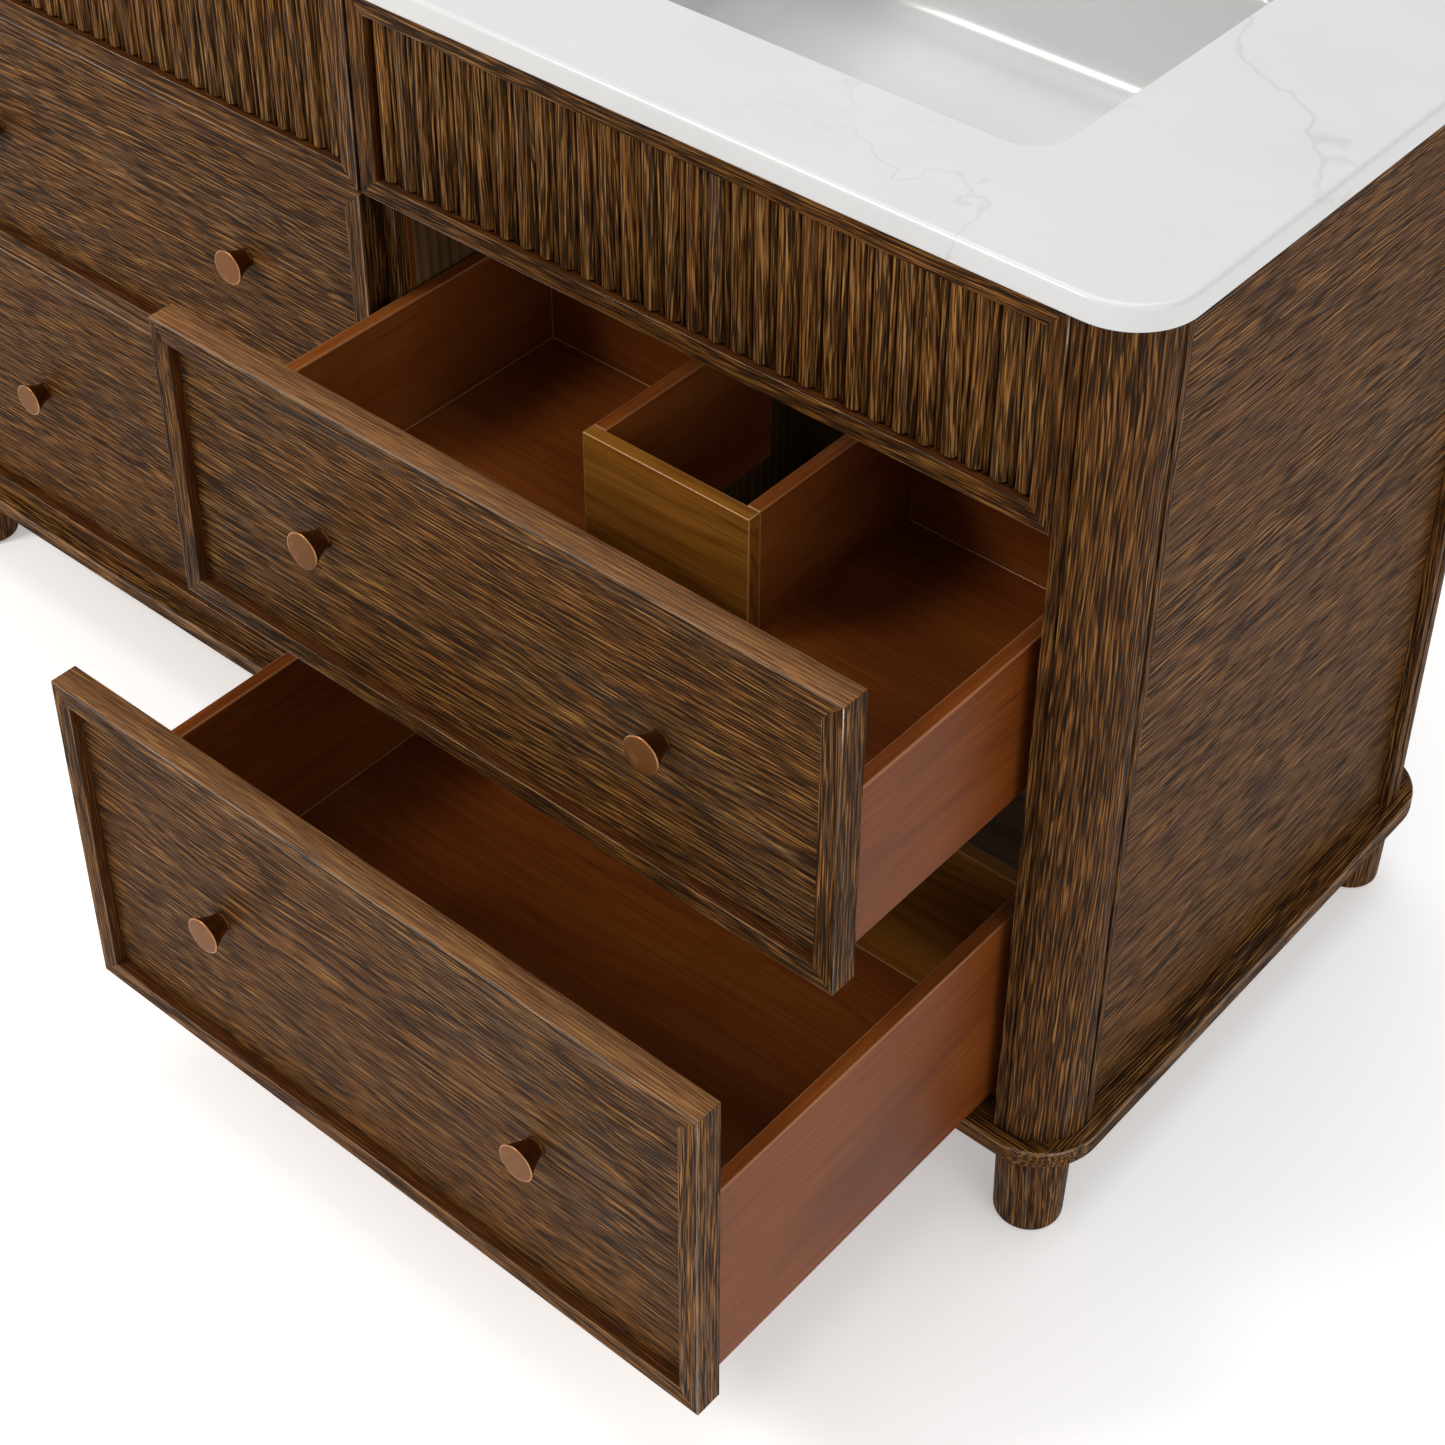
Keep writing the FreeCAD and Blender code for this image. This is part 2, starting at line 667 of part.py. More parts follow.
# --------------------------------------------------------------------------
# Drawers
# --------------------------------------------------------------------------
def knob_pair(label, side, y, z):
    """Two flared knobs, wide at the face and narrow where they meet the panel."""
    body = new_body(label)
    sketch = new_sketch(body, f"{label}_profile", "XZ_Plane")
    neck = size["knob_neck_radius"]
    face = size["knob_face_radius"]
    length = size["knob_length"]
    rim = 1.0
    flare = Part.Arc(
        V(neck - 0.6, 1.6, 0),
        V(neck + 0.36 * (face - neck), 0.52 * length, 0),
        V(face, length - 1.6, 0),
    )
    geometry = (
        Part.LineSegment(V(0, 0, 0), V(neck, 0, 0)),
        Part.LineSegment(V(neck, 0, 0), V(neck - 0.6, 1.6, 0)),
        flare,
        Part.LineSegment(V(face, length - 1.6, 0), V(face, length - rim * 0.6, 0)),
        Part.LineSegment(V(face, length - rim * 0.6, 0), V(face - rim * 0.6, length, 0)),
        Part.LineSegment(V(face - rim * 0.6, length, 0), V(face - 1.8, length, 0)),
        Part.LineSegment(V(face - 1.8, length, 0), V(face - 2.4, length - 0.4, 0)),
        Part.LineSegment(V(face - 2.4, length - 0.4, 0), V(0, length - 0.4, 0)),
        Part.LineSegment(V(0, length - 0.4, 0), V(0, 0, 0)),
    )
    for item in geometry:
        sketch.addGeometry(item)
    for k in range(len(geometry)):
        sketch.addConstraint(Sketcher.Constraint("Block", k))
    turned = body.newObject("PartDesign::Revolution", f"{label}_turned")
    turned.Profile = sketch
    turned.ReferenceAxis = (sketch, ["V_Axis"])
    turned.Angle = 360
    body.Tip = turned
    pair = body.newObject("PartDesign::LinearPattern", f"{label}_pair")
    pair.Originals = [turned]
    pair.Direction = (sketch, ["H_Axis"])
    pair.setExpression("Length", f"{p('knob_spacing')} * 1 mm")
    pair.Occurrences = 2
    body.Tip = pair
    doc.recompute()
    stand_up(body)
    place(body, f"{bay_centre(side)} - {p('knob_spacing')} / 2", y, z)
    return keep(body)


def box_floor(label, upper, corner):
    """Drawer floor; an upper one is cut away behind the pipe notch."""
    body = new_body(label)
    sketch = new_sketch(body, f"{label}_outline")
    width = f"({p('box_width')} - 2 * {p('box_wall')})"
    length = f"({p('box_length')} - 2 * {p('box_wall')})"
    add_rectangle(sketch, "0", "0", width, length)
    pad(body, sketch, p("box_floor_thick"))
    if upper:
        cut = new_sketch(body, f"{label}_cut")
        add_rectangle(
            cut,
            f"{width} / 2 - {p('notch_width')} / 2",
            f"{p('notch_front')} - {p('box_wall')}",
            p("notch_width"),
            p("box_length"),
        )
        pocket(body, cut, reverse=True)
    place(body, *corner)
    return keep(body)


def pipe_notch(label, corner):
    """Three boards that wall off the pipe space, open towards the wall."""
    body = new_body(label)
    sketch = new_sketch(body, f"{label}_outline")
    depth = f"({p('box_length')} - {p('notch_front')})"
    add_rectangle(sketch, "0", "0", p("notch_width"), depth)
    pad(body, sketch, f"{p('upper_box_height')} - {p('notch_drop')}")
    fillet(
        body,
        p("box_ease"),
        lambda e: e.CenterOfMass.y < size["box_length"] - size["notch_front"] - TOLERANCE
        and not along(e, Y_AXIS)
        or in_plane(e, Z_AXIS, size["upper_box_height"] - size["notch_drop"]),
    )
    inside = new_sketch(body, f"{label}_inside")
    add_rectangle(
        inside,
        p("box_wall"),
        p("box_wall"),
        f"{p('notch_width')} - 2 * {p('box_wall')}",
        depth,
    )
    pocket(body, inside, reverse=True)
    place(body, *corner)
    return keep(body)


def drawer(level, side):
    """One drawer: mitred front, flat panel, knobs and a box of boards."""
    upper = level == "upper"
    name = f"{level}_{side}"
    opened = f"({p('open_upper' if upper else 'open_lower')})" if side == "right" else "0"
    front_bottom = p(f"{level}_front_bottom")
    front_height = p(f"{level}_front_height")
    box_bottom = p(f"{level}_box_bottom")
    box_height = p(f"{level}_box_height")

    front_frame(
        f"{name}_front_frame",
        f"{level}_front_height",
        front_x(side),
        f"-{opened}",
        front_bottom,
    )
    board(
        f"{name}_front_panel",
        (
            f"{front_x(side)} + {p('frame_width')}",
            f"{p('panel_recess')} - {opened}",
            f"{front_bottom} + {p('frame_width')}",
        ),
        (inner_width, p("front_panel_thick"), f"{front_height} - 2 * {p('frame_width')}"),
        ease="mitre_width",
    )
    knob_pair(
        f"{name}_knobs",
        side,
        f"{p('panel_recess')} - {opened}",
        f"{front_bottom} + {front_height} / 2",
    )

    box_x = f"{bay_centre(side)} - {p('box_width')} / 2"
    box_y = f"({p('front_thick')} - {opened})"
    inner_x = f"{box_x} + {p('box_wall')}"
    inner = f"({p('box_width')} - 2 * {p('box_wall')})"
    board(
        f"{name}_box_side_left",
        (box_x, box_y, box_bottom),
        (p("box_wall"), p("box_length"), box_height),
        ease="box_ease",
    )
    board(
        f"{name}_box_side_right",
        (f"{box_x} + {p('box_width')} - {p('box_wall')}", box_y, box_bottom),
        (p("box_wall"), p("box_length"), box_height),
        ease="box_ease",
    )
    board(
        f"{name}_box_front",
        (inner_x, box_y, box_bottom),
        (inner, p("box_wall"), box_height),
    )
    back_y = f"{box_y} + {p('box_length')} - {p('box_wall')}"
    back_bottom = f"{box_bottom} + {p('box_floor_rise')}"
    back_height = f"{box_height} - {p('box_floor_rise')}"
    if upper:
        back = new_body(f"{name}_box_back")
        sketch = new_sketch(back, f"{name}_back_outline")
        part_width = f"({inner} - {p('notch_width')}) / 2"
        add_rectangle(sketch, "0", "0", part_width, p("box_wall"))
        add_rectangle(
            sketch,
            f"({part_width}) + {p('notch_width')}",
            "0",
            part_width,
            p("box_wall"),
        )
        pad(back, sketch, back_height)
        fillet(back, p("edge_ease"))
        place(back, inner_x, back_y, back_bottom)
        keep(back)
        pipe_notch(
            f"{name}_pipe_notch",
            (
                f"{bay_centre(side)} - {p('notch_width')} / 2",
                f"{box_y} + {p('notch_front')}",
                f"{box_bottom} + {p('notch_drop')}",
            ),
        )
    else:
        board(
            f"{name}_box_back",
            (inner_x, back_y, back_bottom),
            (inner, p("box_wall"), back_height),
        )
    box_floor(
        f"{name}_box_floor",
        upper,
        (inner_x, f"{box_y} + {p('box_wall')}", f"{box_bottom} + {p('box_floor_rise')}"),
    )


for level in ("upper", "lower"):
    for side in ("left", "right"):
        drawer(level, side)


# --------------------------------------------------------------------------
# Runners under the drawer boxes: an L-shaped section fixed to the carcass
# --------------------------------------------------------------------------
def runner_set(label):
    """Eight runners: two under each of the four drawers."""
    body = new_body(label)
    inner_edge = size["panel_thick"] / 2
    outer_edge = size["half_width"] - size["side_recess"] - size["panel_thick"]
    bay_middle = size["front_gap"] / 2 + size["front_width"] / 2
    rail_reach = size["box_width"] / 2 - size["runner_inset"]
    sketch = new_sketch(body, f"{label}_sections", "XZ_Plane")
    first = 0
    for level in ("upper", "lower"):
        low = size[f"{level}_box_bottom"] - size["runner_gap"] - size["runner_plate"]
        deck = low + size["runner_plate"]
        high = deck + size["runner_height"]
        for side in (-1, 1):
            for wall, direction in ((inner_edge, -1), (outer_edge, 1)):
                near = bay_middle + direction * rail_reach
                far = near - direction * size["runner_width"]
                points = [
                    V(side * wall, low, 0),
                    V(side * far, low, 0),
                    V(side * far, high, 0),
                    V(side * near, high, 0),
                    V(side * near, deck, 0),
                    V(side * wall, deck, 0),
                ]
                for k in range(6):
                    sketch.addGeometry(Part.LineSegment(points[k], points[(k + 1) % 6]))
                for k in range(6):
                    sketch.addConstraint(
                        Sketcher.Constraint(
                            "Coincident", first + k, 2, first + (k + 1) % 6, 1
                        )
                    )
                for k in range(6):
                    sketch.addConstraint(Sketcher.Constraint("Block", first + k))
                first += 6
    pad(body, sketch, p("runner_length"), reverse=True)
    place(body, y=p("post_depth"))
    return keep(body)


runner_set("drawer_runners")


# --------------------------------------------------------------------------
# Countertop
# --------------------------------------------------------------------------
top = new_body("countertop_slab")
outline = new_sketch(top, "top_outline")
top_left = f"(-{p('half_width')} - {p('top_overhang')})"
add_rectangle(
    outline,
    top_left,
    f"-{p('top_overhang')}",
    f"-2 * {top_left}",
    f"{p('carcass_depth')} + 2 * {p('top_overhang')}",
)
pad(top, outline, p("top_thick"))
fillet(top, p("top_corner"), is_vertical, "corners")
fillet(
    top, p("top_ease"), lambda e: in_plane(e, Z_AXIS, size["top_thick"]), "upper_arris"
)
fillet(top, p("top_under_ease"), lambda e: in_plane(e, Z_AXIS, 0), "lower_arris")
openings = new_sketch(top, "top_openings")
for side in ("left", "right"):
    add_rectangle(
        openings,
        f"{bay_centre(side)} - {p('cutout_width')} / 2",
        p("cutout_front"),
        p("cutout_width"),
        p("cutout_depth"),
    )
pocket(top, openings, reverse=True)
fillet(top, p("cutout_corner"), is_vertical, "opening_corners")


def on_opening_rim(edge):
    """True for upper edges of the sink openings."""
    if not in_plane(edge, Z_AXIS, size["top_thick"]):
        return False
    centre = edge.CenterOfMass
    inside_y = size["cutout_front"] - 1 < centre.y
    inside_y = inside_y and centre.y < size["cutout_front"] + size["cutout_depth"] + 1
    return inside_y and abs(centre.x) < size["half_width"] - 60


fillet(top, p("cutout_ease"), on_opening_rim, "opening_rim")
holes = new_sketch(top, "faucet_holes")
for side in ("left", "right"):
    for step in ("-1", "0", "1"):
        add_circle(
            holes,
            f"{bay_centre(side)} + {step} * {p('faucet_spacing')}",
            f"{p('cutout_front')} + {p('cutout_depth')} + {p('faucet_setback')}",
            p("faucet_radius"),
        )
pocket(top, holes, reverse=True)


def slab_half(side):
    """Half of the slab, as a front and a rear piece that meet across the bowl."""
    label = f"countertop_{side}"
    middle = f"{p('cutout_front')} + {p('cutout_depth')} / 2"
    start_x = f"-{p('half_width')} - 2 * {p('top_overhang')}" if side == "left" else "0"
    pieces = []
    for end, start_y in (("front", f"{middle} - {p('carcass_depth')}"), ("rear", middle)):
        block = doc.addObject("Part::Box", f"{label}_{end}_block")
        block.setExpression("Length", f"{p('half_width')} + 2 * {p('top_overhang')}")
        block.setExpression("Width", p("carcass_depth"))
        block.setExpression("Height", f"2 * {p('top_thick')}")
        place(block, start_x, start_y, f"-{p('top_thick')} / 2")
        piece = doc.addObject("Part::Common", f"{label}_{end}")
        piece.Base = top
        piece.Tool = block
        pieces.append(piece)
    half = doc.addObject("Part::Compound", label)
    half.Label = label
    half.Links = pieces
    doc.recompute()
    place(half, z=p("carcass_top"))
    return keep(half)


slab_half("left")
slab_half("right")


# --------------------------------------------------------------------------
# Sinks and drains
# --------------------------------------------------------------------------
def leaning_block(label, half_x, half_y, depth, corner, low_round):
    """Block hanging from Z = 0 with leaning walls, round corners and a round foot."""
    body = new_body(label)
    sketch = new_sketch(body, f"{label}_outline")
    add_rectangle(
        sketch, f"-({half_x})", f"-({half_y})", f"2 * ({half_x})", f"2 * ({half_y})"
    )
    pad(body, sketch, depth, reverse=True, taper=f"-{p('bowl_draft')}")
    floor_level = body.Shape.BoundBox.ZMin
    fillet(
        body,
        corner,
        lambda e: abs(e.BoundBox.ZMin - floor_level) < TOLERANCE
        and abs(e.BoundBox.ZMax) < TOLERANCE,
        "corners",
    )
    fillet(body, low_round, lambda e: in_plane(e, Z_AXIS, floor_level), "foot")
    return body


def sink(label, side):
    """Rectangular undermount basin with leaning walls and a flat flange."""
    mouth_x = f"({p('cutout_width')} / 2 + {p('bowl_reveal')})"
    mouth_y = f"({p('cutout_depth')} / 2 + {p('bowl_reveal')})"
    shell = leaning_block(
        f"{label}_shell",
        f"{mouth_x} + {p('bowl_wall')}",
        f"{mouth_y} + {p('bowl_wall')}",
        f"{p('bowl_depth')} + {p('bowl_wall')}",
        f"{p('bowl_corner')} + {p('bowl_wall')}",
        f"{p('bowl_round')} + {p('bowl_wall')}",
    )
    flange = new_sketch(shell, f"{label}_flange")
    add_rectangle(
        flange,
        f"-{mouth_x} - {p('flange_width')}",
        f"-{mouth_y} - {p('flange_width')}",
        f"2 * ({mouth_x} + {p('flange_width')})",
        f"2 * ({mouth_y} + {p('flange_width')})",
    )
    pad(shell, flange, p("flange_thick"), reverse=True)
    fillet(
        shell, f"{p('bowl_corner')} + {p('flange_width')} / 2", is_vertical, "flange_corners"
    )
    space = leaning_block(
        f"{label}_space", mouth_x, mouth_y, p("bowl_depth"), p("bowl_corner"), p("bowl_round")
    )
    drain = new_sketch(space, f"{label}_drain")
    add_circle(drain, "0", "0", p("drain_hole_radius"))
    pad(space, drain, f"{p('bowl_depth')} + 2 * {p('bowl_wall')}", reverse=True)
    basin = doc.addObject("Part::Cut", label)
    basin.Label = label
    basin.Base = shell
    basin.Tool = space
    doc.recompute()
    place(
        basin,
        bay_centre(side),
        f"{p('cutout_front')} + {p('cutout_depth')} / 2",
        p("carcass_top"),
    )
    return keep(basin)


for side in ("left", "right"):
    sink(f"sink_basin_{side}", side)


def drain_pair(label):
    """Two drains: flange, threaded body, nut, tail pipe and a raised stopper."""
    body = new_body(label)
    sketch = new_sketch(body, f"{label}_profile", "XZ_Plane")
    wall = size["bowl_wall"]
    flange = size["drain_flange_radius"]
    outer = size["drain_body_radius"]
    bore = size["drain_bore_radius"]
    tail = size["drain_tail"]
    pipe = outer - 2.5
    points = [
        V(bore, 0.5, 0),
        V(bore + 2, 2.5, 0),
        V(flange - 3, 2.5, 0),
        V(flange, 0.6, 0),
        V(flange, 0, 0),
        V(outer, 0, 0),
        V(outer, -wall, 0),
        V(outer + 9, -wall, 0),
        V(outer + 9, -wall - 10, 0),
        V(outer, -wall - 10, 0),
        V(outer, -wall - 22, 0),
        V(pipe, -wall - 24, 0),
        V(pipe, -wall - tail, 0),
        V(bore, -wall - tail, 0),
    ]
    add_outline(sketch, points)
    for k in range(len(points)):
        sketch.addConstraint(Sketcher.Constraint("Block", k))
    turned = body.newObject("PartDesign::Revolution", f"{label}_turned")
    turned.Profile = sketch
    turned.ReferenceAxis = (sketch, ["V_Axis"])
    turned.Angle = 360
    body.Tip = turned
    doc.recompute()
    bridge = new_sketch(body, f"{label}_bridge", offset=f"-{p('bowl_wall')} - 14")
    add_rectangle(
        bridge,
        f"-{p('drain_bore_radius')} - 1",
        "-2",
        f"2 * {p('drain_bore_radius')} + 2",
        "4",
    )
    bar = pad(body, bridge, "5")
    cap = new_sketch(body, f"{label}_cap", "XZ_Plane")
    dome = [
        V(0, -wall - 12, 0),
        V(3.5, -wall - 12, 0),
        V(3.5, 5, 0),
        V(24, 6, 0),
        V(26, 7.5, 0),
        V(25, 9.5, 0),
        V(18, 11.5, 0),
        V(0, 12.8, 0),
    ]
    add_outline(cap, dome)
    for k in range(len(dome)):
        cap.addConstraint(Sketcher.Constraint("Block", k))
    stopper = body.newObject("PartDesign::Revolution", f"{label}_stopper")
    stopper.Profile = cap
    stopper.ReferenceAxis = (cap, ["V_Axis"])
    stopper.Angle = 360
    body.Tip = stopper
    doc.recompute()
    pair = body.newObject("PartDesign::LinearPattern", f"{label}_pair")
    pair.Originals = [turned, bar, stopper]
    pair.Direction = (sketch, ["H_Axis"])
    pair.setExpression("Length", f"({p('front_gap')} + {p('front_width')}) * 1 mm")
    pair.Occurrences = 2
    body.Tip = pair
    doc.recompute()
    place(
        body,
        bay_centre("left"),
        f"{p('cutout_front')} + {p('cutout_depth')} / 2",
        f"{p('carcass_top')} - {p('bowl_depth')}",
    )
    return keep(body)


drain_pair("sink_drains")

# --------------------------------------------------------------------------
# Check and export
# --------------------------------------------------------------------------
doc.recompute()
for obj in doc.Objects:
    if "Invalid" in obj.State or "Error" in obj.State:
        raise RuntimeError(f"{obj.Label}: {obj.State}")
os.makedirs("parts", exist_ok=True)
for obj in exported:
    if obj.Shape.isNull() or not obj.Shape.isValid():
        raise RuntimeError(f"{obj.Label}: bad shape")
    if not obj.Shape.Solids:
        raise RuntimeError(f"{obj.Label}: no solid")
    obj.Shape.exportStep(f"parts/{obj.Label}.step")
    box = obj.Shape.optimalBoundingBox(False, False)
    print(
        f"{obj.Label:34s} solids {len(obj.Shape.Solids)} "
        f"x {box.XMin:8.1f}..{box.XMax:8.1f} y {box.YMin:8.1f}..{box.YMax:8.1f} "
        f"z {box.ZMin:7.1f}..{box.ZMax:7.1f}"
    )
print(f"{len(exported)} sub-parts exported")
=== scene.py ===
"""Bathroom vanity cabinet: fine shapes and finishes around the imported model.

Metres, +Z up, fronts face -Y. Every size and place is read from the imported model.
"""
from __future__ import annotations

import json
import logging
import math
import random
from dataclasses import dataclass, field
from enum import Enum
from typing import Any, Iterable, Sequence

import bmesh
import bpy
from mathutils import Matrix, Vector


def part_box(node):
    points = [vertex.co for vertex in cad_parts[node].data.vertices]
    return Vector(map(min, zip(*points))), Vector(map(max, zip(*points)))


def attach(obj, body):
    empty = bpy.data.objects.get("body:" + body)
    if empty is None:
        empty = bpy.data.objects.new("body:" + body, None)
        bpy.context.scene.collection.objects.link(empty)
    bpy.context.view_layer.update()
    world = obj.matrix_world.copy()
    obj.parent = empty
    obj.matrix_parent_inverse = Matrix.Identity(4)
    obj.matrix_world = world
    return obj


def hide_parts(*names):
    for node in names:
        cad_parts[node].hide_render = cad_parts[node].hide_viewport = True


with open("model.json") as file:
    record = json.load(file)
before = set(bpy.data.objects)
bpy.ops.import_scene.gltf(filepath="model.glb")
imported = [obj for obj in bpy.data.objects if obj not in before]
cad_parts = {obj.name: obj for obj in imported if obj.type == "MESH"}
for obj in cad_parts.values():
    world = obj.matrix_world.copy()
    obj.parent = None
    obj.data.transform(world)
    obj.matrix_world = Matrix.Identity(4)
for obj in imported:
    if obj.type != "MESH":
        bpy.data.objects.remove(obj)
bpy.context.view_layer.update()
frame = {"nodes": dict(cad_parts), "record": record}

log = logging.getLogger("vanity")
MM = 0.001
SIDES = ("left", "right")
LEVELS = ("upper", "lower")
Colour = tuple[float, float, float]
Loop = list[Vector]


# --------------------------------------------------------------------------
# Node networks
# --------------------------------------------------------------------------
class Sock:
    """An output socket that can be used in Python expressions on values."""

    def __init__(self, net: "Net", socket: bpy.types.NodeSocket) -> None:
        """Keep the network and the socket."""
        self.net = net
        self.socket = socket

    def _math(self, operation: str, *values: Any) -> "Sock":
        """Add one Math node fed by the values."""
        return self.net.add("ShaderNodeMath", {"operation": operation}, dict(enumerate(values)))

    def __add__(self, other: Any) -> "Sock":
        """self + other."""
        return self._math("ADD", self, other)

    __radd__ = __add__

    def __sub__(self, other: Any) -> "Sock":
        """self - other."""
        return self._math("SUBTRACT", self, other)

    def __rsub__(self, other: Any) -> "Sock":
        """other - self."""
        return self._math("SUBTRACT", other, self)

    def __mul__(self, other: Any) -> "Sock":
        """self * other."""
        return self._math("MULTIPLY", self, other)

    __rmul__ = __mul__

    def __truediv__(self, other: Any) -> "Sock":
        """self / other."""
        return self._math("DIVIDE", self, other)

    def __pow__(self, other: Any) -> "Sock":
        """self ** other."""
        return self._math("POWER", self, other)

    def sine(self) -> "Sock":
        """Sine of the value."""
        return self._math("SINE", self)

    def root(self) -> "Sock":
        """Square root of the value."""
        return self._math("SQRT", self)

    def least(self, other: Any) -> "Sock":
        """The smaller of two values."""
        return self._math("MINIMUM", self, other)

    def most(self, other: Any) -> "Sock":
        """The larger of two values."""
        return self._math("MAXIMUM", self, other)

    def rise(self, low: float, high: float) -> "Sock":
        """Smooth step from 0 at low to 1 at high."""
        settings = {"interpolation_type": "SMOOTHSTEP", "clamp": True}
        values = {"Value": self, "From Min": low, "From Max": high}
        return self.net.add("ShaderNodeMapRange", settings, values)


class Net:
    """A node tree that is built one call at a time."""

    def __init__(self, tree: bpy.types.NodeTree) -> None:
        """Start from an empty tree.

        Args:
            tree: The shader or geometry tree to fill.
        """
        self.tree = tree
        tree.nodes.clear()

    def feed(self, target: bpy.types.NodeSocket, value: Any) -> None:
        """Link a Sock to an input, or set the input's own value."""
        if isinstance(value, Sock):
            self.tree.links.new(value.socket, target)
        elif target.type == "RGBA" and len(value) == 3:
            target.default_value = (*value, 1.0)
        else:
            target.default_value = value

    def add(
        self,
        kind: str,
        settings: dict[str, Any] | None = None,
        inputs: dict[Any, Any] | None = None,
        out: Any = 0,
    ) -> Sock:
        """Add a node.

        Args:
            kind: The node's type name.
            settings: Properties, set before the sockets.
            inputs: Values or Socks by socket name or number.
            out: The output to return, by name or number.

        Returns:
            The chosen output socket, wrapped.
        """
        node = self.tree.nodes.new(kind)
        for name, value in (settings or {}).items():
            setattr(node, name, value)
        for key, value in (inputs or {}).items():
            self.feed(node.inputs[key], value)
        return Sock(self, node.outputs[out])


class Paint(Net):
    """A material's shader network with the patterns that the finishes share."""

    def __init__(self, name: str) -> None:
        """Make the material and its surface shader."""
        self.material = bpy.data.materials.new(name)
        self.material.use_nodes = True
        super().__init__(self.material.node_tree)
        self.shader = self.tree.nodes.new("ShaderNodeBsdfPrincipled")
        output = self.tree.nodes.new("ShaderNodeOutputMaterial")
        self.tree.links.new(self.shader.outputs[0], output.inputs["Surface"])

    def surface(self, **values: Any) -> bpy.types.Material:
        """Set the surface shader's sockets, with underscores for spaces.

        Returns:
            The finished material.
        """
        for name, value in values.items():
            self.feed(self.shader.inputs[name.replace("_", " ")], value)
        return self.material

    def place(self) -> Sock:
        """Object coordinates."""
        return self.add("ShaderNodeTexCoord", out="Object")

    def attribute(self, name: str, out: str = "Fac") -> Sock:
        """A named attribute of the mesh."""
        return self.add("ShaderNodeAttribute", {"attribute_name": name}, out=out)

    def stretch(self, vector: Sock, scale: Sequence[float], move: Sequence[float]) -> Sock:
        """Scale a vector and move it."""
        settings = {"operation": "MULTIPLY_ADD"}
        return self.add("ShaderNodeVectorMath", settings, {0: vector, 1: scale, 2: move})

    def parts(self, vector: Sock) -> tuple[Sock, Sock, Sock]:
        """The three components of a vector."""
        first = self.add("ShaderNodeSeparateXYZ", None, {0: vector})
        outputs = first.socket.node.outputs
        return first, Sock(self, outputs[1]), Sock(self, outputs[2])

    def join(self, x: Any, y: Any, z: Any) -> Sock:
        """A vector from three values."""
        return self.add("ShaderNodeCombineXYZ", None, {0: x, 1: y, 2: z})

    def noise(
        self, vector: Sock, scale: float = 1.0, detail: float = 2.0, rough: float = 0.5
    ) -> Sock:
        """Fractal noise between 0 and 1."""
        values = {"Vector": vector, "Scale": scale, "Detail": detail, "Roughness": rough}
        return self.add("ShaderNodeTexNoise", {"noise_dimensions": "3D"}, values)

    def mix(self, factor: Any, first: Any, second: Any, blend: str = "MIX") -> Sock:
        """Mix two colours."""
        settings = {"data_type": "RGBA", "blend_type": blend}
        return self.add("ShaderNodeMix", settings, {0: factor, 6: first, 7: second}, out=2)

    def ramp(self, value: Sock, stops: Sequence[tuple[float, Colour]]) -> Sock:
        """Colour ramp through the stops."""
        sock = self.add("ShaderNodeValToRGB", None, {0: value})
        band = sock.socket.node.color_ramp
        while len(band.elements) < len(stops):
            band.elements.new(1.0)
        for element, (position, colour) in zip(band.elements, stops):
            element.position = position
            element.color = (*colour, 1.0)
        return sock

    def bump(self, height: Sock, distance: float, strength: float = 1.0) -> Sock:
        """Normal from a height in 0..1."""
        values = {"Height": height, "Distance": distance, "Strength": strength}
        return self.add("ShaderNodeBump", None, values)


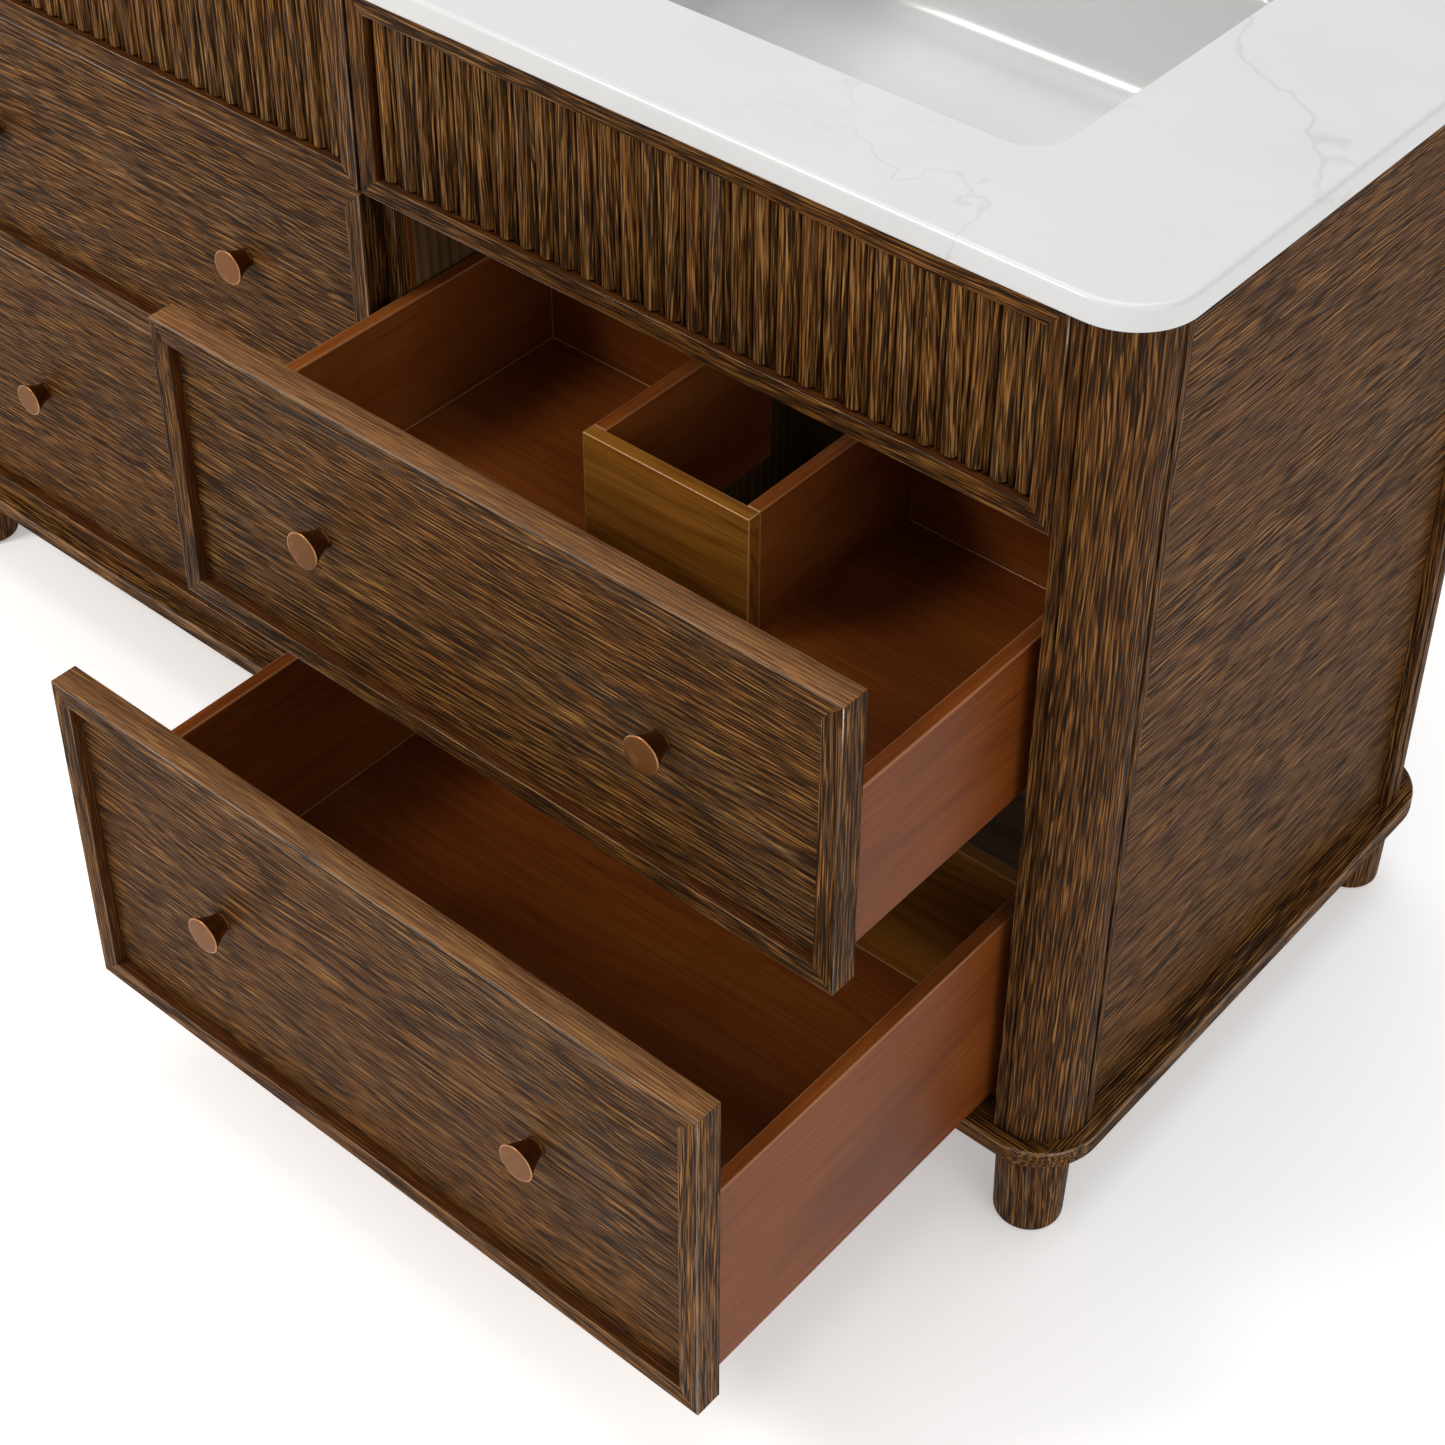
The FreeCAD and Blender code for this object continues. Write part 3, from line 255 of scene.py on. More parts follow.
# --------------------------------------------------------------------------
# Finishes
# --------------------------------------------------------------------------
@dataclass(frozen=True)
class BrushedOak:
    """Open-grained oak, wire brushed and stained dark, with patches of painted grey sheen."""

    name: str = "brushed_oak"
    pore: Colour = (0.0085, 0.0050, 0.0030)
    deep: Colour = (0.030, 0.0115, 0.0042)
    body: Colour = (0.098, 0.037, 0.0080)
    warm: Colour = (0.190, 0.078, 0.0165)
    pale: Colour = (0.370, 0.185, 0.055)
    # Dark reddish colour of painted shade on the frame's inner reveal faces, down in the recess.
    reveal: Colour = (0.075, 0.019, 0.004)
    # Pinkish colour of a painted sheen, standing in for sky reflected on top faces.
    painted_sheen: Colour = (0.270, 0.125, 0.068)
    # Grey of a painted sheen, laid over patches of the grain.
    glaze: Colour = (0.045, 0.044, 0.043)
    roughness: float = 0.50
    fibre_pitch: tuple[float, float, float] = (24.0, 900.0, 900.0)
    streak_pitch: tuple[float, float, float] = (5.0, 260.0, 260.0)
    pore_pitch: tuple[float, float, float] = (30.0, 1000.0, 1000.0)
    cloud_pitch: tuple[float, float, float] = (3.0, 12.0, 12.0)
    ring_density: float = 2150.0
    wide_ring_density: float = 610.0
    heart_depth: float = 0.034
    relief: float = 0.0005

    def build(self) -> bpy.types.Material:
        """Make the material.

        Returns:
            Oak that follows the mesh's grain and tone attributes, its arris attribute (wear and
            painted highlight), its reveal attribute (painted shade) and its painted-sheen
            attribute.
        """
        p = Paint(self.name)
        grain = p.attribute("grain", "Vector")
        tone = p.attribute("tone")
        arris = p.attribute("arris")
        reveal = p.attribute("reveal")
        painted_sheen = p.attribute("painted_sheen")
        wander = p.noise(p.stretch(grain, (1.6, 7.0, 7.0), (3.1, 0.7, 1.9)), detail=3.0)
        waver = p.noise(p.stretch(grain, (9.0, 60.0, 60.0), (0.0, 0.0, 0.0)), detail=2.0)
        along, across, depth = p.parts(grain)
        side = across + (wander - 0.5) * 0.075 + (waver - 0.5) * 0.004
        bend = (wander - 0.5) * 0.020 + (waver - 0.5) * 0.0016
        flow = p.join(along, across + bend, depth + bend)
        heart = depth + self.heart_depth + (wander - 0.5) * 0.030
        radius = (side * side + heart * heart).root()
        ring = (radius * self.ring_density + waver * 3.0).sine() * 0.5 + 0.5
        wide = (radius * self.wide_ring_density + wander * 5.0).sine() * 0.5 + 0.5
        fibre = p.noise(p.stretch(flow, self.fibre_pitch, (5.3, 0, 0)), detail=1.0)
        fibre = fibre.rise(0.30, 0.70)
        streak = p.noise(
            p.stretch(flow, self.streak_pitch, (1.3, 2.0, 0)), detail=3.0, rough=0.62
        )
        cloud = p.noise(p.stretch(grain, self.cloud_pitch, (7.7, 1.2, 0)), detail=2.0)
        value = (
            fibre * 0.40
            + streak * 0.30
            + ring * 0.17
            + wide * 0.10
            + cloud * 0.36
            + tone * 0.04
            # The painted-sheen mark lifts the value.
            + painted_sheen * 0.12
            - 0.190
        )
        stops = (
            (0.16, self.deep),
            (0.42, self.body),
            (0.60, self.warm),
            (0.88, self.pale),
        )
        colour = p.ramp(value, stops)
        dashes = p.noise(p.stretch(flow, self.pore_pitch, (0, 0, 4.0)), detail=1.0)
        crowd = (1.0 - ring) * 0.07 + wide * 0.05 + cloud * 0.22
        # Under the painted sheen the pores fade and the colour turns pinkish.
        pores = (dashes + crowd).rise(0.63, 0.74) * (1.0 - painted_sheen * 0.6)
        colour = p.mix(painted_sheen * 0.38, colour, self.painted_sheen)
        colour = p.mix(pores * 0.85, colour, self.pore)
        # Grey patches: painted sheen, as of light reflected off the pores.
        grey = (cloud + ring * 0.16).rise(0.60, 0.74) * streak.rise(0.46, 0.62)
        colour = p.mix(grey * 0.40, colour, self.glaze)
        # Painted shade on the frame's inner reveal faces, over their reddish-brown.
        colour = p.mix(reveal * 0.62, colour, self.reveal)
        # Paler arrises: wear and painted highlight.
        wear_and_highlight = arris * fibre.rise(0.34, 0.55)
        colour = p.mix(wear_and_highlight * 0.42, colour, self.pale)
        height = fibre * 0.35 + streak * 0.15 - pores * 0.75 + 0.5
        return p.surface(
            Base_Color=colour,
            Roughness=(
                pores * 0.2 + fibre * 0.1 - arris * 0.18 + (self.roughness - 0.06)
            ).least(0.95),
            Normal=p.bump(height, self.relief, 0.8),
            Coat_Weight=arris,
            Coat_Roughness=0.16,
            Specular_IOR_Level=0.06,
        )


@dataclass(frozen=True)
class StainedBoxWood:
    """Close-grained drawer wood with a thin red-brown stain and a satin lacquer."""

    name: str
    dark: Colour = (0.080, 0.015, 0.0022)
    mid: Colour = (0.170, 0.044, 0.0075)
    light: Colour = (0.270, 0.088, 0.020)
    # Paler colour on the eased edges: wear and painted highlight.
    edge: Colour = (0.400, 0.170, 0.070)
    roughness: float = 0.34
    figure: float = 0.4

    def build(self) -> bpy.types.Material:
        """Make the material.

        Returns:
            Satin wood that follows the mesh's grain, tone and arris attributes.
        """
        p = Paint(self.name)
        grain = p.attribute("grain", "Vector")
        tone = p.attribute("tone")
        arris = p.attribute("arris")
        wander = p.noise(p.stretch(grain, (2.2, 9.0, 9.0), (1.0, 5.0, 2.0)), detail=2.0)
        _, across, depth = p.parts(grain)
        side = across + (wander - 0.5) * 0.11
        heart = depth + 0.05 + (wander - 0.5) * 0.03
        radius = (side * side + heart * heart).root()
        ring = ((radius * 560.0).sine() * 0.5 + 0.5) ** 2.2
        fibre = p.noise(p.stretch(grain, (9.0, 330.0, 330.0), (0, 0, 0)), detail=3.0, rough=0.6)
        cloud = p.noise(p.stretch(grain, (3.5, 11.0, 11.0), (4.0, 0, 6.0)), detail=3.0)
        value = (
            fibre * 0.42 + cloud * 0.62 - ring * 0.13 * self.figure + tone * 0.08
        )
        stops = ((0.22, self.dark), (0.50, self.mid), (0.80, self.light))
        colour = p.ramp(value, stops)
        # Eased edges painted paler: wear and painted highlight.
        colour = p.mix(arris * 0.55, colour, self.edge)
        height = fibre * 0.6 + cloud * 0.4
        return p.surface(
            Base_Color=colour,
            Roughness=cloud * 0.14 + fibre * 0.06 + (self.roughness - 0.08),
            Normal=p.bump(height, 0.00012, 0.6),
            Coat_Weight=arris * 0.5,
            Coat_Roughness=0.2,
            Specular_IOR_Level=0.09,
        )


@dataclass(frozen=True)
class VeinedQuartz:
    """White engineered stone with a few broken hairline veins."""

    name: str = "veined_quartz"
    ground: Colour = (0.63, 0.63, 0.635)
    cloud: Colour = (0.60, 0.60, 0.605)
    vein: Colour = (0.42, 0.41, 0.41)

    def build(self) -> bpy.types.Material:
        """Make the material.

        Returns:
            Polished stone that follows object coordinates.
        """
        p = Paint(self.name)
        where = p.place()
        mist = p.noise(p.stretch(where, (7.0, 7.0, 7.0), (0.3, 2.0, 0)), detail=4.0, rough=0.6)
        drift = p.noise(p.stretch(where, (2.3, 2.3, 2.3), (4.0, 1.0, 0)), detail=5.0, rough=0.52)
        branch = p.noise(p.stretch(where, (3.6, 3.6, 3.6), (9.0, 6.0, 2)), detail=6.0, rough=0.50)
        patch = p.noise(p.stretch(where, (3.1, 3.1, 3.1), (1.5, 8.0, 0)), detail=1.0)
        main = 1.0 - self._ridge(drift).rise(0.0, 0.0050)
        fine = 1.0 - self._ridge(branch).rise(0.0, 0.0045)
        shown = patch.rise(0.44, 0.60)
        hidden = (1.0 - patch).rise(0.46, 0.62)
        veins = (main * shown * 0.34).most(fine * hidden * 0.28)
        halo = (1.0 - self._ridge(drift).rise(0.0, 0.04)) * shown * 0.20
        grit = p.noise(p.stretch(where, (900.0, 900.0, 900.0), (0, 0, 0)), detail=1.0)
        colour = p.mix(mist.rise(0.35, 0.75) * 0.7 + halo, self.ground, self.cloud)
        colour = p.mix(veins, colour, self.vein)
        colour = p.mix(grit.rise(0.62, 0.72) * 0.25, colour, self.cloud)
        return p.surface(
            Base_Color=colour,
            Roughness=grit * 0.05 + 0.15,
            Normal=p.bump(grit, 0.00003, 0.3),
            Specular_IOR_Level=0.5,
        )

    @staticmethod
    def _ridge(value: Sock) -> Sock:
        """Distance from the middle of a noise."""
        return (value - 0.5).most(0.5 - value)


@dataclass(frozen=True)
class WhiteGlaze:
    """Glossy fired glaze over a white basin."""

    name: str = "white_glaze"
    ground: Colour = (0.60, 0.60, 0.605)
    pooled: Colour = (0.56, 0.565, 0.57)

    def build(self) -> bpy.types.Material:
        """Make the material.

        Returns:
            Glossy ceramic with a faint orange-peel ripple.
        """
        p = Paint(self.name)
        where = p.place()
        ripple = p.noise(p.stretch(where, (55.0, 55.0, 55.0), (0, 0, 0)), detail=2.0)
        pool = p.noise(p.stretch(where, (9.0, 9.0, 9.0), (2.0, 0, 0)), detail=2.0)
        speck = p.noise(p.stretch(where, (420.0, 420.0, 420.0), (0, 0, 0)), detail=1.0)
        colour = p.mix(pool.rise(0.3, 0.8) * 0.5, self.ground, self.pooled)
        colour = p.mix(speck.rise(0.76, 0.82) * 0.3, colour, self.pooled)
        return p.surface(
            Base_Color=colour,
            Roughness=pool * 0.08 + 0.20,
            Normal=p.bump(ripple, 0.00025, 0.25),
            Coat_Weight=0.15,
            Coat_Roughness=0.08,
        )


@dataclass(frozen=True)
class Metal:
    """Plated or patinated metal with fine turning marks, handling wear and a painted highlight on
    its arrises.
    """

    name: str
    base: Colour
    wear_and_highlight: Colour
    metallic: float = 1.0
    roughness: float = 0.3
    wear: float = 0.5
    mottle: float = 60.0

    def build(self) -> bpy.types.Material:
        """Make the material.

        Returns:
            Metal painted brighter on its arrises, for wear and highlight.
        """
        p = Paint(self.name)
        where = p.place()
        arris = p.attribute("arris")
        blotch = p.noise(p.stretch(where, (self.mottle,) * 3, (1.0, 0, 0)), detail=4.0, rough=0.6)
        grit = p.noise(p.stretch(where, (1400.0, 1400.0, 1400.0), (0, 0, 0)), detail=1.0)
        # Paler on the arrises and in blotches: handling wear, and on the arrises also a painted
        # highlight.
        rub = (arris * 0.9 + blotch.rise(0.55, 0.75) * 0.35).least(1.0)
        colour = p.mix(rub * self.wear, self.base, self.wear_and_highlight)
        return p.surface(
            Base_Color=colour,
            Metallic=self.metallic,
            Roughness=blotch * 0.2 + grit * 0.08 - arris * 0.12 + (self.roughness - 0.1),
            Normal=p.bump(grit + blotch, 0.00004, 0.5),
        )


@dataclass(frozen=True)
class StudioFloor:
    """Plain pale floor."""

    name: str = "studio_floor"
    pale: Colour = (0.90, 0.90, 0.90)
    glow: float = 0.35

    def build(self) -> bpy.types.Material:
        """Make the material."""
        p = Paint(self.name)
        mottle = p.noise(p.stretch(p.place(), (40.0, 40.0, 40.0), (0, 0, 0)), detail=2.0)
        return p.surface(
            Base_Color=self.pale,
            Roughness=mottle * 0.1 + 0.85,
            Emission_Color=(1.0, 1.0, 1.0),
            Emission_Strength=self.glow,
        )


class Finish(Enum):
    """The finishes of the cabinet, each with its recipe."""

    OAK = BrushedOak()
    BOX = StainedBoxWood("box_wood")
    BOX_GOLD = StainedBoxWood(
        "box_wood_golden",
        dark=(0.090, 0.028, 0.0035),
        mid=(0.260, 0.102, 0.014),
        light=(0.42, 0.185, 0.036),
        edge=(0.55, 0.30, 0.12),
        figure=0.8,
    )
    GLUE = StainedBoxWood(
        "glue_line",
        dark=(0.20, 0.085, 0.022),
        mid=(0.33, 0.160, 0.050),
        light=(0.46, 0.240, 0.085),
        edge=(0.46, 0.240, 0.085),
    )
    VENEER = StainedBoxWood(
        "inner_veneer",
        dark=(0.060, 0.032, 0.012),
        mid=(0.150, 0.086, 0.034),
        light=(0.27, 0.165, 0.07),
        edge=(0.42, 0.17, 0.05),
        roughness=0.42,
        figure=1.2,
    )
    QUARTZ = VeinedQuartz()
    GLAZE = WhiteGlaze()
    BRONZE = Metal("knob_bronze", (0.170, 0.066, 0.0175), (0.62, 0.30, 0.14), 1.0, 0.44, 0.6)
    STEEL = Metal("runner_zinc", (0.42, 0.43, 0.44), (0.70, 0.70, 0.70), 1.0, 0.35, 0.5, 35.0)
    CHROME = Metal("drain_chrome", (0.62, 0.62, 0.63), (0.85, 0.85, 0.85), 1.0, 0.14, 0.3)
    FLOOR = StudioFloor()

    def material(self) -> bpy.types.Material:
        """The finish's material, made on first use."""
        known = bpy.data.materials.get(self.value.name)
        return known if known is not None else self.value.build()


# --------------------------------------------------------------------------
# Meshes
# --------------------------------------------------------------------------
class Grain(Enum):
    """Which axis the wood's fibres run along, and the order of axes that follows."""

    X = (0, 2, 1)
    Y = (1, 2, 0)
    Z = (2, 0, 1)
    X_FLAT = (0, 1, 2)
    Y_FLAT = (1, 0, 2)


@dataclass
class Shape:
    """A mesh under construction with marks on its arrises, painted paler for wear and highlight, on
    faces with painted shade and on faces with painted sheen.
    """

    mesh: bmesh.types.BMesh = field(default_factory=bmesh.new)
    wear_and_highlight: set[int] = field(default_factory=set)
    shaded: set[int] = field(default_factory=set)
    painted_sheen: set[int] = field(default_factory=set)
    turned: set[int] = field(default_factory=set)

    def skin(self, loops: Sequence[Loop], cap: bool = True, ring: bool = False) -> list[Any]:
        """Join closed loops of equal length with quads.

        Args:
            loops: The loops, in order.
            cap: Close the first and last loop.
            ring: Join the last loop back to the first.

        Returns:
            Lists of faces, one list for each band between two loops.
        """
        rows = [[self.mesh.verts.new(point) for point in loop] for loop in loops]
        count = len(rows[0])
        pairs = list(zip(rows, rows[1:]))
        if ring:
            pairs.append((rows[-1], rows[0]))
        bands = []
        for low, high in pairs:
            band = []
            for k in range(count):
                n = (k + 1) % count
                band.append(self.mesh.faces.new((low[k], low[n], high[n], high[k])))
            bands.append(band)
        if cap and not ring:
            self.mesh.faces.new(rows[0][::-1])
            self.mesh.faces.new(rows[-1])
        return bands

    def mark(self, faces: Iterable[Any], where: set[int]) -> None:
        """Remember faces by index for an attribute."""
        self.mesh.faces.ensure_lookup_table()
        self.mesh.faces.index_update()
        where.update(face.index for face in faces)

    def box(self, low: Vector, high: Vector, ease: float, steps: int = 2) -> None:
        """Add a box with eased edges.

        Args:
            low: Lowest corner.
            high: Highest corner.
            ease: Radius of the eased edges.
            steps: Segments across an eased edge.
        """
        made = bmesh.ops.create_cube(self.mesh, size=1.0)["verts"]
        centre = (low + high) / 2
        extent = high - low
        for vert in made:
            vert.co = centre + Vector(c * e for c, e in zip(vert.co, extent))
        edges = list({edge for vert in made for edge in vert.link_edges})
        eased = bmesh.ops.bevel(
            self.mesh,
            geom=edges,
            offset=min(ease, min(extent) * 0.3),
            segments=steps,
            profile=0.5,
            affect="EDGES",
        )
        # The eased faces are painted paler: wear and painted highlight.
        self.mark(eased["faces"], self.wear_and_highlight)

    def finish(
        self,
        name: str,
        finish: Finish,
        grain: Grain = Grain.X,
        seed: int = 0,
        weighted: bool = True,
        golden: float = 0.0,
    ) -> bpy.types.Object:
        """Turn the shape into an object.

        Args:
            name: The piece's name.
            finish: Its finish.
            grain: Which way its fibres run.
            seed: Chooses where in the log the board was cut.
            weighted: Weight the normals by face area.
            golden: Lightens the board's tone.

        Returns:
            The new object.
        """
        bmesh.ops.recalc_face_normals(self.mesh, faces=self.mesh.faces[:])
        mesh = bpy.data.meshes.new(name)
        self.mesh.to_mesh(mesh)
        self.mesh.free()
        mesh.polygons.foreach_set("use_smooth", [True] * len(mesh.polygons))
        stamp(mesh, grain, seed, self, golden)
        mesh.materials.append(finish.material())
        piece = bpy.data.objects.new(name, mesh)
        bpy.context.scene.collection.objects.link(piece)
        if weighted:
            soften = piece.modifiers.new("soft_normals", "WEIGHTED_NORMAL")
            soften.weight = 100
            soften.keep_sharp = True
        return piece


def stamp(mesh: bpy.types.Mesh, grain: Grain, seed: int, shape: Shape, golden: float) -> None:
    """Write the attributes that the wood finishes read.

    Args:
        mesh: The finished mesh.
        grain: Which way the fibres run.
        seed: Chooses the board's place in the log and its tone.
        shape: Holds the marked faces.
        golden: Added to the tone.
    """
    rng = random.Random(seed * 7919 + 17)
    centre = sum((v.co for v in mesh.vertices), Vector()) / max(1, len(mesh.vertices))
    move = (rng.uniform(0, 40), rng.uniform(-0.05, 0.05), rng.uniform(0.0, 0.04))
    tone = rng.uniform(-1.0, 1.0) + golden
    flow = mesh.attributes.new("grain", "FLOAT_VECTOR", "CORNER")
    values: list[float] = []
    for polygon in mesh.polygons:
        order = Grain.Y.value if polygon.index in shape.turned else grain.value
        for corner in polygon.vertices:
            local = mesh.vertices[corner].co - centre
            values += [local[axis] + shift for axis, shift in zip(order, move)]
    flow.data.foreach_set("vector", values)
    tones = mesh.attributes.new("tone", "FLOAT", "POINT")
    tones.data.foreach_set("value", [tone] * len(mesh.vertices))
    # arris carries wear and painted highlight, reveal carries painted shade, and the third mark a
    # painted sheen on top faces.
    marks = (("arris", shape.wear_and_highlight), ("reveal", shape.shaded), ("painted_sheen", shape.painted_sheen))
    for name, marked in marks:
        layer = mesh.attributes.new(name, "FLOAT", "FACE")
        layer.data.foreach_set(
            "value", [1.0 if k in marked else 0.0 for k in range(len(mesh.polygons))]
        )


def corners(node: str) -> tuple[Vector, Vector]:
    """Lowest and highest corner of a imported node."""
    low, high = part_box(node)
    return Vector(low), Vector(high)


def ride(piece: bpy.types.Object, body: str, slot: str, *nodes: str) -> bpy.types.Object:
    """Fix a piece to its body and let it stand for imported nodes."""
    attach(piece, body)
    if nodes:
        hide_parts(*nodes)
    log.info("%s: %d faces on %s", piece.name, len(piece.data.polygons), body)
    return piece


def rounded_rectangle(
    centre: Vector, half_x: float, half_y: float, radius: float, z: float, steps: int = 10
) -> Loop:
    """Points of a rectangle with round corners, the same number whatever its size.

    Args:
        centre: Middle of the rectangle; its z is ignored.
        half_x: Half its width.
        half_y: Half its depth.
        radius: Corner radius.
        z: Height of the loop.
        steps: Segments in each corner.

    Returns:
        The loop, anticlockwise from above.
    """
    radius = min(radius, half_x, half_y)
    points = []
    for number, (sx, sy) in enumerate(((1, -1), (1, 1), (-1, 1), (-1, -1))):
        middle = Vector((centre.x + sx * (half_x - radius), centre.y + sy * (half_y - radius), z))
        for k in range(steps + 1):
            angle = math.radians(-90 + 90 * number + 90 * k / steps)
            points.append(middle + Vector((math.cos(angle), math.sin(angle), 0)) * radius)
    return points


def circle(centre: Vector, radius: float, z: float, count: int = 48) -> Loop:
    """Points of a circle, anticlockwise from above."""
    return [
        Vector(
            (
                centre.x + radius * math.cos(2 * math.pi * k / count),
                centre.y + radius * math.sin(2 * math.pi * k / count),
                z,
            )
        )
        for k in range(count)
    ]


def board(
    node: str,
    body: str,
    slot: str,
    finish: Finish,
    grain: Grain,
    seed: int,
    ease: float = 1.0 * MM,
) -> bpy.types.Object:
    """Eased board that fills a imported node's box."""
    shape = Shape()
    shape.box(*corners(node), ease)
    return ride(shape.finish(f"{node}_board", finish, grain, seed), body, slot, node)


# --------------------------------------------------------------------------
# Geometry node rows
# --------------------------------------------------------------------------
@dataclass
class Row:
    """Repeats one source piece along a line, each copy cut from its own place in the log."""

    name: str
    source: bpy.types.Object
    finish: Finish
    start: Vector
    step: Vector
    count: int
    seed: int
    grain: Grain | None = None
    jitter: float = 0.0

    def tree(self) -> bpy.types.NodeTree:
        """Build the node tree.

        Returns:
            A tree with the inputs Count, Start, Step, Jitter and Seed.
        """
        tree = bpy.data.node_groups.new(f"{self.name}_row", "GeometryNodeTree")
        face = tree.interface
        for label, kind in (
            ("Geometry", "NodeSocketGeometry"),
            ("Count", "NodeSocketInt"),
            ("Start", "NodeSocketVector"),
            ("Step", "NodeSocketVector"),
            ("Jitter", "NodeSocketFloat"),
            ("Seed", "NodeSocketInt"),
        ):
            face.new_socket(label, in_out="INPUT", socket_type=kind)
        face.new_socket("Geometry", in_out="OUTPUT", socket_type="NodeSocketGeometry")
        net = Net(tree)
        given = tree.nodes.new("NodeGroupInput")
        entry = {s.name: Sock(net, s) for s in given.outputs}
        line = net.add(
            "GeometryNodeMeshLine",
            {"mode": "OFFSET"},
            {"Count": entry["Count"], "Start Location": entry["Start"], "Offset": entry["Step"]},
        )
        source = net.add(
            "GeometryNodeObjectInfo", None, {"Object": self.source, "As Instance": True}, "Geometry"
        )
        placed = net.add("GeometryNodeInstanceOnPoints", None, {"Points": line, "Instance": source})
        shake = net.add(
            "FunctionNodeRandomValue",
            {"data_type": "FLOAT"},
            {"Min": -1.0, "Max": 1.0, "Seed": entry["Seed"]},
            1,
        )
        nudge = net.add(
            "ShaderNodeCombineXYZ", None, {0: shake * entry["Jitter"], 1: 0.0, 2: 0.0}
        )
        placed = net.add(
            "GeometryNodeTranslateInstances",
            None,
            {"Instances": placed, "Translation": nudge, "Local Space": False},
        )
        cut = net.add(
            "FunctionNodeRandomValue",
            {"data_type": "FLOAT_VECTOR"},
            {"Min": (0, -0.06, 0), "Max": (40, 0.06, 0.05), "Seed": entry["Seed"]},
        )
        placed = self._store(net, placed, "cut", cut, "INSTANCE", "FLOAT_VECTOR")
        real = net.add("GeometryNodeRealizeInstances", None, {0: placed})
        if self.grain is not None:
            real = self._flow(net, real)
        dressed = net.add(
            "GeometryNodeSetMaterial", None, {"Geometry": real, "Material": self.finish.material()}
        )
        output = tree.nodes.new("NodeGroupOutput")
        net.feed(output.inputs[0], dressed)
        return tree

    @staticmethod
    def _store(net: Net, geometry: Sock, name: str, value: Sock, domain: str, kind: str) -> Sock:
        """Store a value as a named attribute."""
        node = {"data_type": kind, "domain": domain}
        return net.add(
            "GeometryNodeStoreNamedAttribute", node, {0: geometry, "Name": name, "Value": value}
        )

    def _flow(self, net: Net, geometry: Sock) -> Sock:
        """Write the grain of every copy from its position and its own cut."""
        position = net.add("GeometryNodeInputPosition")
        first = net.add("ShaderNodeSeparateXYZ", None, {0: position})
        axes = [Sock(net, out) for out in first.socket.node.outputs]
        turned = net.add(
            "ShaderNodeCombineXYZ", None, {k: axes[a] for k, a in enumerate(self.grain.value)}
        )
        cut = net.add(
            "GeometryNodeInputNamedAttribute", {"data_type": "FLOAT_VECTOR"}, {"Name": "cut"}
        )
        flow = net.add("ShaderNodeVectorMath", {"operation": "ADD"}, {0: turned, 1: cut})
        return self._store(net, geometry, "grain", flow, "POINT", "FLOAT_VECTOR")

    def build(self) -> bpy.types.Object:
        """Run the tree on a fresh mesh and keep the result as a plain mesh.

        Returns:
            The row as one object.
        """
        seed_mesh = bpy.data.meshes.new(f"{self.name}_seed")
        holder = bpy.data.objects.new(f"{self.name}_holder", seed_mesh)
        bpy.context.scene.collection.objects.link(holder)
        tree = self.tree()
        modifier = holder.modifiers.new("row", "NODES")
        modifier.node_group = tree
        ids = {
            item.name: item.identifier
            for item in tree.interface.items_tree
            if item.in_out == "INPUT"
        }
        modifier[ids["Count"]] = self.count
        modifier[ids["Start"]] = tuple(self.start)
        modifier[ids["Step"]] = tuple(self.step)
        modifier[ids["Jitter"]] = self.jitter
        modifier[ids["Seed"]] = self.seed
        graph = bpy.context.evaluated_depsgraph_get()
        graph.update()
        mesh = bpy.data.meshes.new_from_object(holder.evaluated_get(graph))
        mesh.name = self.name
        bpy.data.objects.remove(holder)
        bpy.data.objects.remove(self.source)
        piece = bpy.data.objects.new(self.name, mesh)
        bpy.context.scene.collection.objects.link(piece)
        return piece


